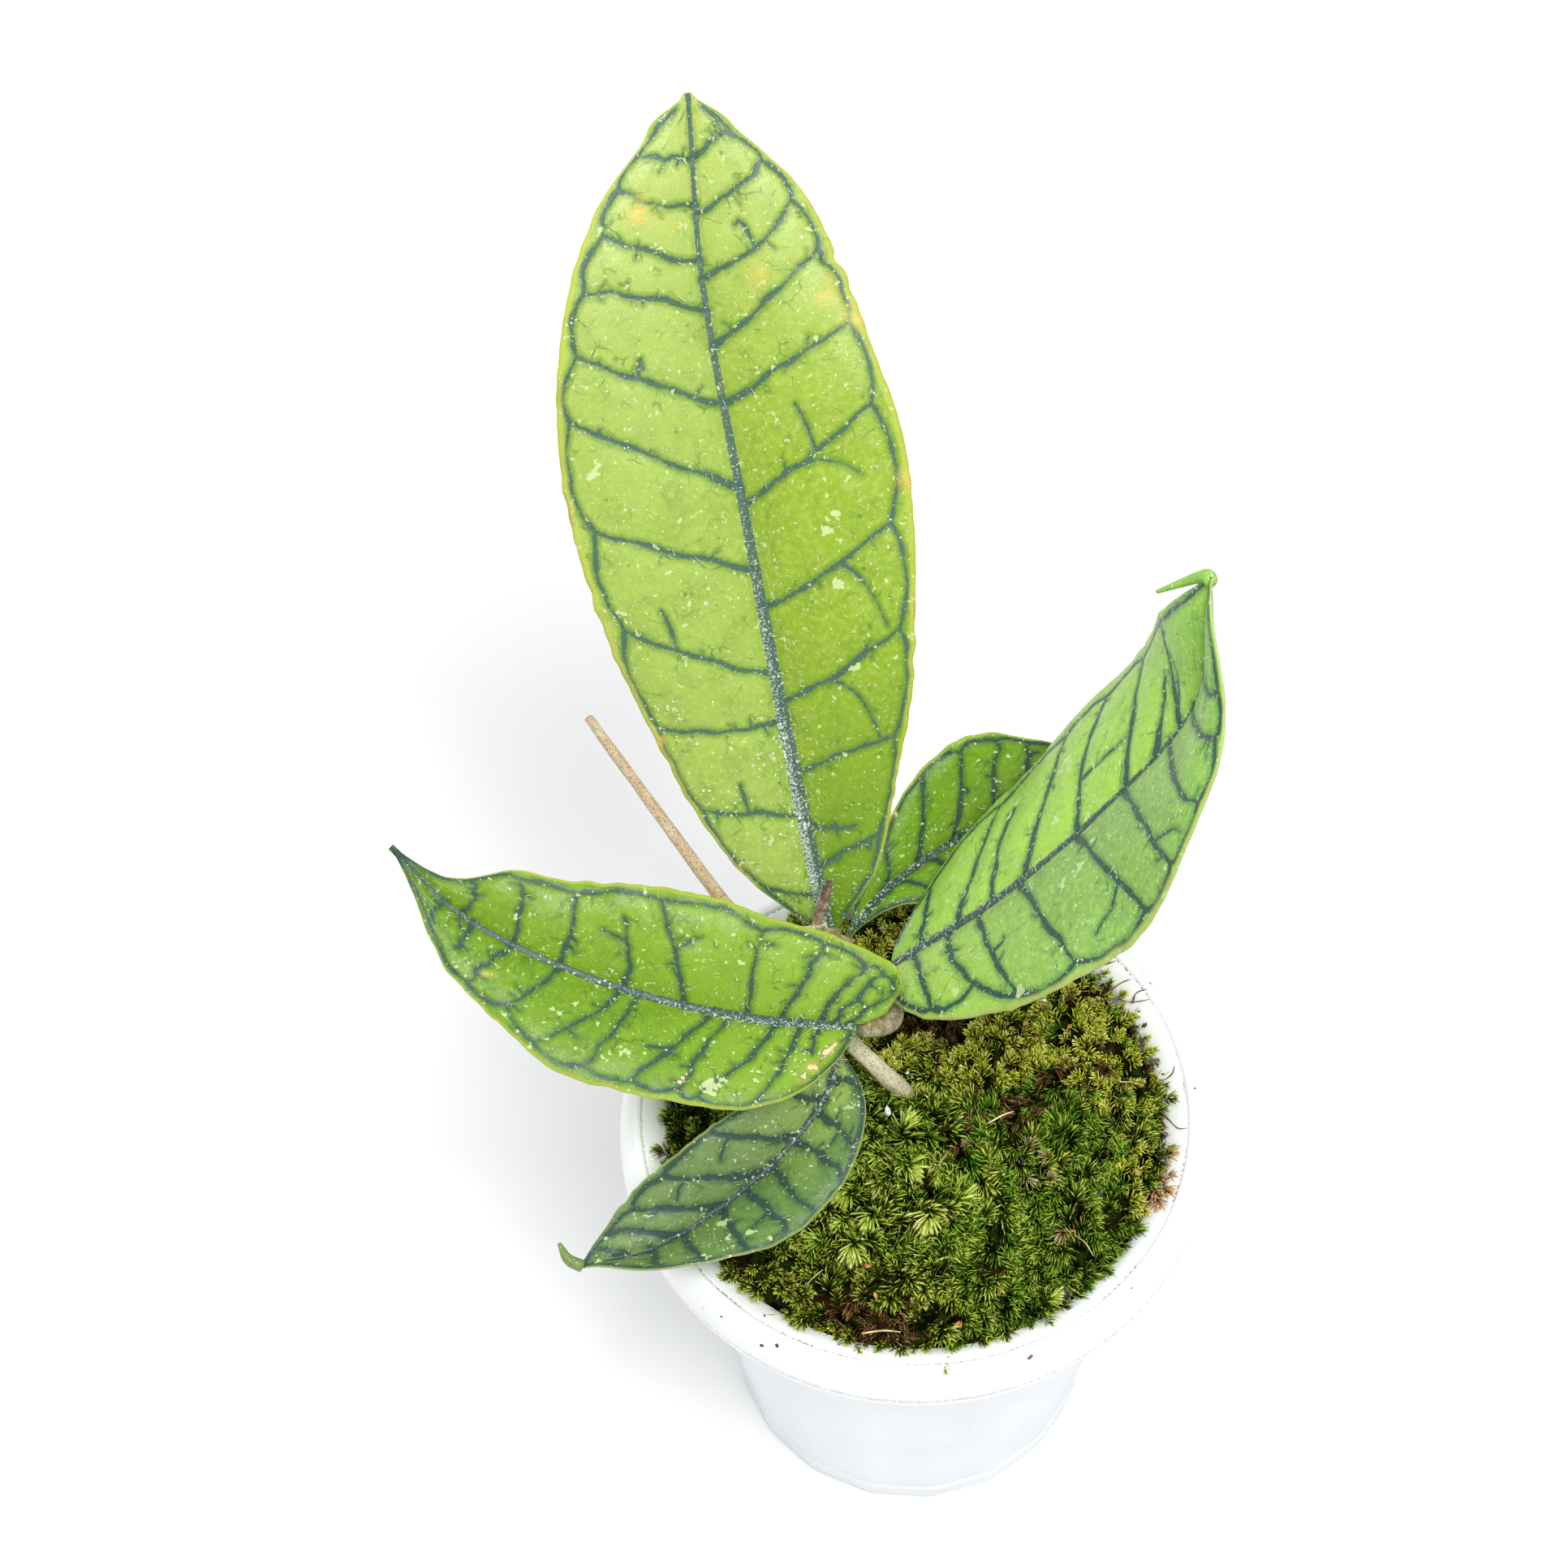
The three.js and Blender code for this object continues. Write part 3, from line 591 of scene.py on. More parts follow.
def veinRoutes(shape, chance):
    # every vein but the midrib
    routes, sideVeins = [], []
    for name, sign in (("left", -1), ("right", 1)):
        half, ends = shape.leaf[name], []
        for foot, end, reach in half["veins"]:
            bow, seed = chance.uniform(-1, 1), chance.uniform(0, 99)
            route = sideVein(shape, foot, end, sign * reach, bow, seed)
            sideVeins.append(route)
            if reach > veins["longVein"]:
                ends.append((route[-1][0], reach))
            routes += [spur(shape, route, chance) for i in range(veins["spurs"])]
        ends = [veins["marginFoot"]] + sorted(ends) + [veins["marginTip"]]
        for start, end in zip(ends, ends[1:]):
            routes.append(marginVein(shape, sign, start, end, chance.uniform(0, 99)))
        for a, ra, b, rb in half["twigs"]:  # each starts on the side vein nearest to its listed foot
            spots = [spot for route in sideVeins for spot in route if spot[1] * sign > 0.05]
            foot = min(spots, key=lambda spot: abs(spot[0] - a) * 3 + abs(spot[1] - sign * ra))
            routes.append(twigVein(shape, foot, (b, sign * rb), chance.uniform(0, 99)))
    return routes + sideVeins


def veinTree(shape, chance):
    # the veins' centre lines as a cloud of close points, on the blade pressed flat
    spots = []
    for route in veinRoutes(shape, chance):
        for (sa, ua, ha), (sb, ub, hb) in zip(route, route[1:]):
            xa, ya = shape.flat(min(max(sa, 0.0), 1.0), ua)
            xb, yb = shape.flat(min(max(sb, 0.0), 1.0), ub)
            count = max(1, int(math.hypot(xb - xa, yb - ya) / veins["spacing"]))
            for i in range(count):
                t = i / count
                spots.append((between(xa, xb, t), between(ya, yb, t), between(ha, hb, t)))
    tree = kdtree.KDTree(len(spots))
    for i, (x, y, _) in enumerate(spots):
        tree.insert((x, y, 0), i)
    tree.balance()
    return tree, [half for _, _, half in spots]


def bladeSheet(shape, tree, halves, bm):
    # the sheet, first flat and square, doubled and closed, its upper side cut finer along the veins
    leaf = shape.leaf
    widest = max(leaf["left"]["widths"]) + max(leaf["right"]["widths"])
    rows, columns = round(shape.length / blade["cell"]), 2 * round(widest / blade["cell"] / 2)
    layers = {name: bm.verts.layers.float.new(name) for name in
              ("veinGap", "ribGap", "across", "along", "upper", "pale", "rust", "dust", "scar")}
    bmesh.ops.create_grid(bm, x_segments=rows, y_segments=columns, size=1)

    def gapAt(v):
        x, y = shape.flat((v.co.x + 1) / 2, v.co.y)
        _, i, distance = tree.find((x, y, 0))
        rib = between(*leaf["midrib"], smoothStep(0, 1, (v.co.x + 1) / 2))
        return distance - halves[i], abs(y) - rib

    under, lower = set(bm.verts), bm.faces[:]
    bmesh.ops.extrude_face_region(bm, geom=lower, use_keep_orig=True)
    bmesh.ops.reverse_faces(bm, faces=lower)
    for v in bm.verts:
        v[layers["upper"]] = 0 if v in under else 1
    margin = {e.other_vert(v) for v in under for e in v.link_edges}
    inner = [v for v in bm.verts if v not in under and v not in margin]
    near = {v for v in inner if min(gapAt(v)) < blade["fineBand"]}
    edges = [e for e in bm.edges if e.verts[0] in near and e.verts[1] in near]
    bmesh.ops.subdivide_edges(bm, edges=edges, cuts=2, use_grid_fill=True)
    patches = {kind: [(*shape.flat(s, u), r) for s, u, r in leaf.get(kind, ())]
               for kind in ("pale", "rust", "dust", "scar")}
    for v in bm.verts:
        share, across = (v.co.x + 1) / 2, v.co.y
        v[layers["veinGap"]], v[layers["ribGap"]] = gapAt(v)
        v[layers["across"]], v[layers["along"]] = across, share
        x, y = shape.flat(share, across)
        for kind, spots in patches.items():
            cover = [smoothStep(1, 0, math.hypot(x - sx, y - sy) / r) for sx, sy, r in spots]
            v[layers[kind]] = max(cover, default=0)
        v.co = shape.point(share, across, sheetLift(v, layers, share, across, v[layers["upper"]] > 0.5))
    bmesh.ops.recalc_face_normals(bm, faces=bm.faces)
    if bm.calc_volume(signed=True) < 0:
        bmesh.ops.reverse_faces(bm, faces=bm.faces)
    return layers


def sheetLift(v, layers, share, across, upper):
    # height over the blade's middle: thickness, thin margin, swelling between veins, groove and keel
    thinMargin, thinEnds = blade["leastThickness"]
    byFoot, byTip = blade["thinEnds"]
    thin = math.sqrt(max(1 - abs(across) ** 10, thinMargin))
    thin *= math.sqrt(max(min(1, share * byFoot, (1 - share) * byTip), thinEnds))
    half = blade["thickness"] / 2 * thin
    gap, rib = v[layers["veinGap"]], v[layers["ribGap"]]
    swell = blade["quilt"] * smoothStep(-0.3, blade["quiltReach"], min(gap, rib)) * (1 - across ** 8)
    ripple = blade["ripple"] * noise.noise((share * 40, across * 12, 7.3))
    if upper:
        groove = blade["groove"] * smoothStep(0.5, -0.3, gap)
        crest = blade["crest"] * smoothStep(0.1, -0.7, rib) - blade["furrow"] * smoothStep(0.9, 0.0, rib)
        return half + swell + ripple - groove + crest
    keel = blade["keel"] * smoothStep(0.4, -1.2, rib) * between(1.0, 0.3, share)
    under = blade["underGroove"] * smoothStep(0.4, -0.3, gap)
    return -half + swell * blade["quiltBelow"] + ripple - keel - under


def leafLook(name, leaf):
    look = Look(name, Specular_IOR_Level=0.3, Coat_Weight=0.04, Coat_Roughness=0.3)
    tone = leaf["colours"]
    across, along, rib = look.value("across"), look.value("along"), look.value("ribGap")
    grain, blot, patchy = look.noise(2600, 5), look.noise(160, 3), look.noise(320, 3)
    edge = look.calc("ABSOLUTE", across)
    # veins: their edge feathers, and they swell and thin along the way
    feather = look.sway(look.noise(1500, 4), 0.8)
    gap = look.plus(look.plus(look.value("veinGap"), feather), look.sway(look.noise(260, 1), 0.7))
    ribGap = look.plus(rib, look.times(feather, 0.6))
    ink = look.layers(tone["vein"], [(look.noise(4800, 2), 0.48, 0.7, 0.35, tone["rib"])])
    frost = look.times(look.step(along, 0.85, 0.05, (0.1, 1)), look.step(across, 0.03, -0.03, (0.35, 1)))
    frost = look.plus(look.times(frost, leaf["frost"]), look.noise(2300, 4))
    spine = look.layers(ink, [(frost, 0.62, 0.8, 1, "bcc6bd")])
    # the fine net between the side veins
    net = look.cells(210, look.warped(350, 2.2), "DISTANCE_TO_EDGE")
    clearNet = look.step(patchy, 0.46, 0.66)
    byVein = look.step(look.value("veinGap"), 6.5, 0.5, (0.25, 1))
    # patches listed for the leaf, with torn edges
    pale = look.plus(look.value("pale"), look.times(look.noise(700, 5), 3.4))
    scar = look.plus(look.value("scar"), look.times(look.noise(600, 3), 1.2))
    rust, rusty = look.value("rust"), look.step(patchy, 0.3, 0.7)
    # white bloom: fine flecks, denser by the midrib's foot and in the listed patches
    dusty = look.plus(look.times(look.value("dust"), 0.12), look.step(patchy, 0.45, 0.8, (0, 0.1)))
    dusty = look.plus(dusty, look.times(look.step(rib, 2.5, -0.5, (0, 0.06)), look.step(along, 0.9, 0.0)))
    torn = look.warped(2200, 1.1)
    fleck = look.less(look.cells(900, torn), dusty)
    crumb = look.less(look.cells(420, torn), look.times(dusty, 0.25))
    foot = leaf.get("footFrom", 0.0)  # where the foot's colour starts, across the leaf

    upper = look.layers(tone["left"], [
        # the right half's colour over the left: partly the leaf's own colour, partly painted sheen and light
        # on the half that catches it
        (across, -0.12, 0.12, 1, tone["right"]),
        (along, 0.55, 1.0, 0.75, tone["tip"]),
        (blot, 0.4, 0.75, 0.25, tone["halo"]),
        (look.noise(850, 4), 0.42, 0.68, 0.45, tone["light"]),
        (along, 0.5, 0.0, 0.8, tone["foot"], look.step(across, foot, foot + 0.3)),
        (grain, 0.5, 0.7, 0.2, tone["halo"]),
        (net, 0.055, 0.005, 0.7, tone["halo"], clearNet, byVein),
        (look.cells(230), 0.11, 0.06, 0.7, tone["halo"], look.step(blot, 0.5, 0.62)),
        (gap, 1.3, 0.0, 0.6, tone["halo"]),
        (gap, 0.22, -0.14, 0.9, ink),
        (ribGap, 0.25, -0.12, 0.95, spine),
        (edge, 0.945, 0.985, 0.75, tone["margin"]),
        (edge, 0.975, 0.99, 0.8, "c09a50", look.step(look.noise(150, 3), 0.56, 0.7)),
        (pale, 2.2, 2.32, 0.75, "ccdca0"),
        (scar, 0.84, 0.94, 1, "6e7a3c"),
        (scar, 0.96, 1.08, 1, "e6c8ae"),
        (patchy, 0.3, 0.7, 0.6, "dcc860", rust),
        (look.noise(1100, 3), 0.52, 0.66, 1, "e39a48", rust, rusty),
        (fleck, 0.12, 0.05, 0.8, "e9eedc"),
        (crumb, 0.06, 0.03, 0.8, "eef1e4"),
    ])
    under = look.layers(tone["under"], [
        (grain, 0.35, 0.7, 0.3, tone["left"]),
        (gap, 0.7, -0.1, 0.45, tone["halo"]),
        (rib, 0.1, -0.5, 0.6, "c3cf9a"),
    ])
    rough = look.plus(look.step(fleck, 0.12, 0.05, (0, 0.24)), look.step(grain, 0.3, 0.7, (0.34, 0.46)))
    bump = look.plus(grain, look.times(look.noise(750, 3), 1.6))
    return look.finish(look.mix(look.value("upper"), under, upper), rough, bump, 0.06)


hairs = {
    "lift": 0.25,
    "byMidrib": 0.45, "strip": 0.22,  # share of the hairs that lie by the midrib, and how wide their strip is
    "lengths": (0.5, 0.7, 0.9, 1.6),
    "foot": (0.05, 0.11), "tip": 0.03,
}


def addHairs(shape, bm, chance):
    # short white hairs lying on the upper side, most of them by the midrib
    lift = blade["thickness"] / 2 + hairs["lift"]
    for i in range(shape.leaf["hairs"]):
        share = 0.03 + 0.9 * chance.random() ** 1.25
        across = chance.uniform(-0.92, 0.92)
        if chance.random() < hairs["byMidrib"]:
            across *= hairs["strip"]
        place = shape.point(share, across, lift)
        aim = chance.uniform(0, 2 * math.pi)
        length = chance.choice(hairs["lengths"])
        along = (shape.point(min(share + 0.01, 1), across, lift) - place).normalized()
        up = shape.station(share)[1]
        heading = along * math.cos(aim) + along.cross(up) * math.sin(aim) + up * chance.uniform(0.0, 0.5)
        turn = heading.to_track_quat("Z", "Y").to_matrix().to_4x4()
        middle = Matrix.Translation(place + heading * length * 0.4)
        bmesh.ops.create_cone(bm, cap_ends=True, segments=3, radius1=chance.uniform(*hairs["foot"]),
                              radius2=hairs["tip"], depth=length, matrix=middle @ turn)


def makeLeaves():
    allHairs = bmesh.new()
    for node, leaf in blades.items():
        chance = random.Random(node)
        shape = BladeShape(leaf)
        bm = bmesh.new()
        tree, halves = veinTree(shape, chance)
        layers = bladeSheet(shape, tree, halves, bm)
        if "tip" in leaf:
            for v in addRod(bm, leaf["tip"], step=0.6):
                v[layers["upper"]], v[layers["along"]] = 1, 1
                v[layers["veinGap"]], v[layers["ribGap"]] = 4, 4
        finishPiece(node.replace("leaf_", "blade_"), bm, [leafLook(node, leaf)], [node])
        addHairs(shape, allHairs, chance)
    white = Look("leaf_hair", Roughness=0.6)
    white.finish(white.mix(white.noise(300), "f4f6ea", "dfe6c8"))
    finishPiece("leaf_hairs", allHairs, [white.material])


# Stem, petioles and flower stalk

wood = {
    "stem": [(-0.6, 0.8, 92, 2.2), (-1, 1.8, 112, 2.1), (-6, 5, 118.5, 1.9), (-11.6, 8.2, 124.9, 1.8),
             (-18.2, 12.4, 134.5, 2.4), (-27.4, 19.2, 144.8, 1.6), (-36.3, 25.1, 155.3, 1.35),
             (-47.3, 33.8, 172.9, 1.15), (-59.5, 43.3, 193.5, 0.9)],
    "petioles": {
        "petiole_tall": [(-17.6, 13.6, 136.5, 2.2), (-16.8, 16.4, 140, 2.0), (-15.8, 20, 144, 2.0),
                         (-15.7, 22.6, 147.5, 1.7)],
        "petiole_left": [(-16, 12.6, 134.6, 1.9), (-9.5, 13.4, 134.2, 1.8), (-4.4, 12.2, 134, 1.8),
                         (-3.6, 9.2, 134, 1.8), (-6, 6.4, 135.4, 1.8), (-10, 4.6, 139, 1.8)],
        "petiole_front": [(-14.6, 8.8, 128.4, 1.8), (-14.7, 7.4, 129.2, 1.7), (-14.5, 5.2, 129.3, 1.6)],
        "petiole_right": [(-16.4, 13.6, 134.6, 1.9), (-10, 17, 135, 1.8), (-4, 18.9, 136.4, 1.8)],
        "petiole_behind": [(-16.6, 14.4, 136, 1.7), (-14.4, 18.6, 139, 1.5), (-12.2, 23.2, 142.3, 1.5)],
    },
    "stalk": [(-18.8, 14.8, 138.5, 1.0), (-18.4, 19, 151, 0.9), (-17.2, 21, 157, 1.0),
              (-15.3, 23.2, 163, 0.75)],
    "bract": [(-21.1, 18.9, 153.8, 0.35), (-18.8, 19, 153.4, 0.6), (-16.2, 19.2, 154.4, 0.35)],
    "relief": {"stem": 0.11, "petiole": 0.07, "stalk": 0.2},  # the bark's lumps, as shares of the radius
    "collar": (0.12, 0.2), "cushion": (0.16, 0.25),  # swelling of a petiole at its foot and by the blade
}


def barkRelief(seed, depth):
    def relief(share, angle, length):
        x, y = math.cos(angle), math.sin(angle)
        lumps = noise.noise((x * 1.4 + seed, y * 1.4, share * length * 0.16))
        lines = noise.noise((x * 5 + seed, y * 5, share * length * 0.35))
        rings = noise.noise((seed, 3.1, share * length * 2.4)) * 0.35
        return depth * (lumps + 0.8 * lines + rings)
    return relief


def barkLook(name, foot, end, crack):
    # tan skin with fine dark cracks and pale specks; only the stem and the dry stalk carry "along"
    look = Look(name, Specular_IOR_Level=0.3)
    along, fine = look.value("along"), look.noise(2800, 5)
    colour = look.layers(foot, [
        (along, 0.36, 0.5, 1, end),
        (along, 0.25, 0.16, 0.55, "8a7a58"),
        (look.noise(420, 3), 0.4, 0.65, 0.45, "d8d2b0"),
        (fine, 0.52, 0.66, 0.6, crack),
        (look.cells(2800), 0.25, 0.12, 0.4, "ece7d0"),
        (look.cells(1500, look.warped(900, 0.8)), 0.3, 0.16, 0.7, crack),
    ])
    return look.finish(colour, look.step(fine, 0.3, 0.7, (0.5, 0.8)), fine, 0.12)


def swollenEnds(share):
    collar, collarLength = wood["collar"]
    cushion, cushionLength = wood["cushion"]
    byBlade = cushion * math.exp(-((share - 1) / cushionLength) ** 2)
    return 1 + byBlade + collar * math.exp(-(share / collarLength) ** 2)


def makeStem():
    relief = wood["relief"]
    bm = bmesh.new()
    line = wood["stem"]
    addRod(bm, line, around=28, step=0.45, relief=barkRelief(2.0, relief["stem"]))
    along = bm.verts.layers.float.new("along")
    foot, end = Vector(line[0][:3]), Vector(line[-1][:3])
    for v in bm.verts:
        v[along] = (v.co - foot).dot(end - foot) / (end - foot).length_squared
    finishPiece("woody_stem", bm, [barkLook("bark", "dfd8b2", "c8ad8b", "4c4028")], ["stem"])
    skin = barkLook("petiole_skin", "8a7e50", "8f7c52", "4a3c26")
    for node, line in wood["petioles"].items():
        bm = bmesh.new()
        bark = barkRelief(len(node), relief["petiole"])
        addRod(bm, line, around=24, step=0.4, relief=bark, ends=swollenEnds)
        finishPiece(node.replace("petiole_", "leafstalk_"), bm, [skin], [node])
    bm = bmesh.new()
    along = bm.verts.layers.float.new("along")
    for v in addRod(bm, wood["stalk"], around=16, step=0.5, relief=barkRelief(9.0, relief["stalk"])):
        v[along] = 0.3 + 0.3 * smoothStep(150, 160, v.co.z)  # pale at the foot, brown at the top
    for v in addRod(bm, wood["bract"], around=10, step=0.4):
        v[along] = 0.3
    dry = barkLook("dry_stalk", "c2b184", "6b4a3e", "3e2722")
    finishPiece("dry_stalk", bm, [dry], ["flower_stalk"])


# Pot

pot = {
    "facets": 18, "facetTurn": -6.4, "cornerRound": 1.4,
    "wall": [(38, 0), (39.6, 0.4), (40.1, 5.4), (39.6, 6), (50.6, 100), (49.3, 100), (37.3, 1.8)],
    "rim": [(50.4, 108.2), (50.8, 108.9), (54.5, 111.4), (55.1, 111.4), (55.6, 111.9), (56.6, 111.8),
            (58.2, 110.4), (59.5, 107.8), (60, 104.4), (59.4, 101.4), (58, 99.1), (57.2, 97.8), (56.4, 97.8),
            (56.4, 99.6), (58.4, 104.6), (56.4, 109.4), (52.4, 108), (50.5, 96.5), (48.9, 96.5)],
    "round": (4, 10), "roundSteps": 6,  # the stretch of the rim's outline that is round
    "steps": 144,
    "holes": 6, "holeRadius": 3.5, "holeCircle": 24,
    "crease": 55.1, "beadFoot": 99.1, "outerLine": 104.6,  # crease and beadFoot: where soil has caught; outerLine: height of a faint broken grey line round the bead's outer edge
    "hardEdge": 0.6, "flatFrom": 40,  # sharper edges, in radians, and larger faces are shaded flat
}


def potBody(bm):
    # the wall is drawn up ring by ring from its foot, out and back down inside, and then gets its floor
    turn = Matrix.Rotation(math.radians(pot["facetTurn"] - 90), 4, "Z")
    bmesh.ops.create_circle(bm, segments=pot["facets"], radius=pot["wall"][0][0], matrix=turn)
    edges = bm.edges[:]
    for (r0, h0), (r1, h1) in zip(pot["wall"], pot["wall"][1:]):
        made = bmesh.ops.extrude_edge_only(bm, edges=edges)["geom"]
        ring = [v for v in made if isinstance(v, bmesh.types.BMVert)]
        edges = [e for e in made if isinstance(e, bmesh.types.BMEdge)]
        bmesh.ops.scale(bm, vec=(r1 / r0, r1 / r0, 1), verts=ring)
        bmesh.ops.translate(bm, vec=(0, 0, h1 - h0), verts=ring)
    corners = [e for e in bm.edges if abs(e.verts[0].co.z - e.verts[1].co.z) > 0.2]
    bmesh.ops.bevel(bm, geom=corners, offset=pot["cornerRound"], affect="EDGES", segments=3, profile=0.5,
                    material=-1)
    angles = [2 * math.pi * i / pot["holes"] for i in range(pot["holes"])]
    holes = [Vector((pot["holeCircle"] * math.cos(a), pot["holeCircle"] * math.sin(a), 0)) for a in angles]
    for height in (0, pot["wall"][-1][1]):  # the floor's two faces, with the drain holes left open
        loop = [e for e in bm.edges if e.is_boundary and abs(e.verts[0].co.z - height) < 0.01]
        for spot in holes:
            place = Matrix.Translation(spot + Vector((0, 0, height)))
            hole = bmesh.ops.create_circle(bm, segments=24, radius=pot["holeRadius"], matrix=place)["verts"]
            loop += dict.fromkeys(e for v in hole for e in v.link_edges)
        bmesh.ops.triangle_fill(bm, edges=loop, use_beauty=True)
    for spot in holes:
        near = pot["holeRadius"] + 0.1
        pair = [e for e in bm.edges if e.is_boundary and (e.verts[0].co.xy - spot.xy).length < near]
        bmesh.ops.bridge_loops(bm, edges=pair)
    bmesh.ops.recalc_face_normals(bm, faces=bm.faces)
    for f in bm.faces:
        f.smooth = f.calc_area() < pot["flatFrom"]


def potRim():
    # the rolled rim, its outline turned once round
    first, last = pot["round"]
    arc = pot["rim"][first:last + 1]
    steps = pot["roundSteps"] * (last - first)
    bead = [[smoothAt([point[k] for point in arc], i / steps) for k in (0, 1)] for i in range(steps + 1)]
    outline = pot["rim"][:first] + bead + pot["rim"][last + 1:]
    rim = bmesh.new()
    verts = [rim.verts.new((radius, 0, height)) for radius, height in outline]
    lines = [rim.edges.new(pair) for pair in zip(verts, verts[1:] + verts[:1])]
    bmesh.ops.spin(rim, geom=verts + lines, axis=(0, 0, 1), cent=(0, 0, 0), angle=2 * math.pi,
                   steps=pot["steps"], use_merge=True)
    bmesh.ops.remove_doubles(rim, verts=rim.verts, dist=1e-4)
    bmesh.ops.recalc_face_normals(rim, faces=rim.faces)
    for f in rim.faces:
        f.smooth = True
    mesh = bpy.data.meshes.new("rim")
    rim.to_mesh(mesh)
    rim.free()
    return mesh


def makePot():
    bm = bmesh.new()
    potBody(bm)
    rim = potRim()
    bm.from_mesh(rim)
    bpy.data.meshes.remove(rim)
    for e in bm.edges:
        if len(e.link_faces) == 2 and e.calc_face_angle() > pot["hardEdge"]:
            e.smooth = False
    placePiece("nursery_pot", bm, [potLook()], ["pot"])


def potLook():
    # white moulded plastic, with soil caught in the crease of the rim and under its bead, and painted shade
    # on the body below the bead
    look = Look("pot_plastic", Specular_IOR_Level=0.45)
    outputs = look.node("ShaderNodeSeparateXYZ", {0: look.coordinates}).outputs
    x, y, height = (look.times(output, 1 / mm) for output in outputs)
    radius = look.calc("SQRT", look.plus(look.times(x, x), look.times(y, y)))
    patchy, crumbs, cloud = look.noise(70, 3), look.noise(1300, 4), look.noise(45, 3)
    wobble = look.sway(look.noise(500, 2), 0.5)
    crease = look.nearTo(look.plus(radius, wobble), pot["crease"], 0.24, 0.05)
    outer = look.nearTo(look.plus(height, wobble), pot["outerLine"], 0.8, 0.3)
    foot = look.nearTo(height, pot["beadFoot"], 0.7, 0.1)
    onTop = look.step(height, 110.6, 111.2)
    colour = look.layers("f3f4f4", [
        (cloud, 0.35, 0.7, 0.5, "e9ebed"),
        # painted shade: the body below the rim's bead is painted greyer
        (height, 99, 90, 0.6, "dfe4e7"),
        (crumbs, 0.46, 0.58, 0.85, "6b5236", crease, onTop, look.step(patchy, 0.4, 0.56)),
        (crumbs, 0.4, 0.55, 0.5, "a9a39a", outer, look.step(radius, 59.5, 59.7)),
        (crumbs, 0.55, 0.66, 0.5, "9a8662", look.step(radius, 52.0, 50.8), look.step(height, 107.5, 108.2)),
        (look.noise(110, 3), 0.5, 0.62, 0.7, "8f7a5a", foot, look.step(radius, 57, 57.5)),
        (look.cells(150), 0.06, 0.03, 0.5, "9a8a74", look.step(patchy, 0.5, 0.6)),
        (look.noise(60, 4, (1, 1, 0.25)), 0.6, 0.72, 0.25, "d6dade"),
    ])
    return look.finish(colour, look.step(cloud, 0.3, 0.7, (0.3, 0.42)), look.noise(400, 3), 0.03)


# Moss

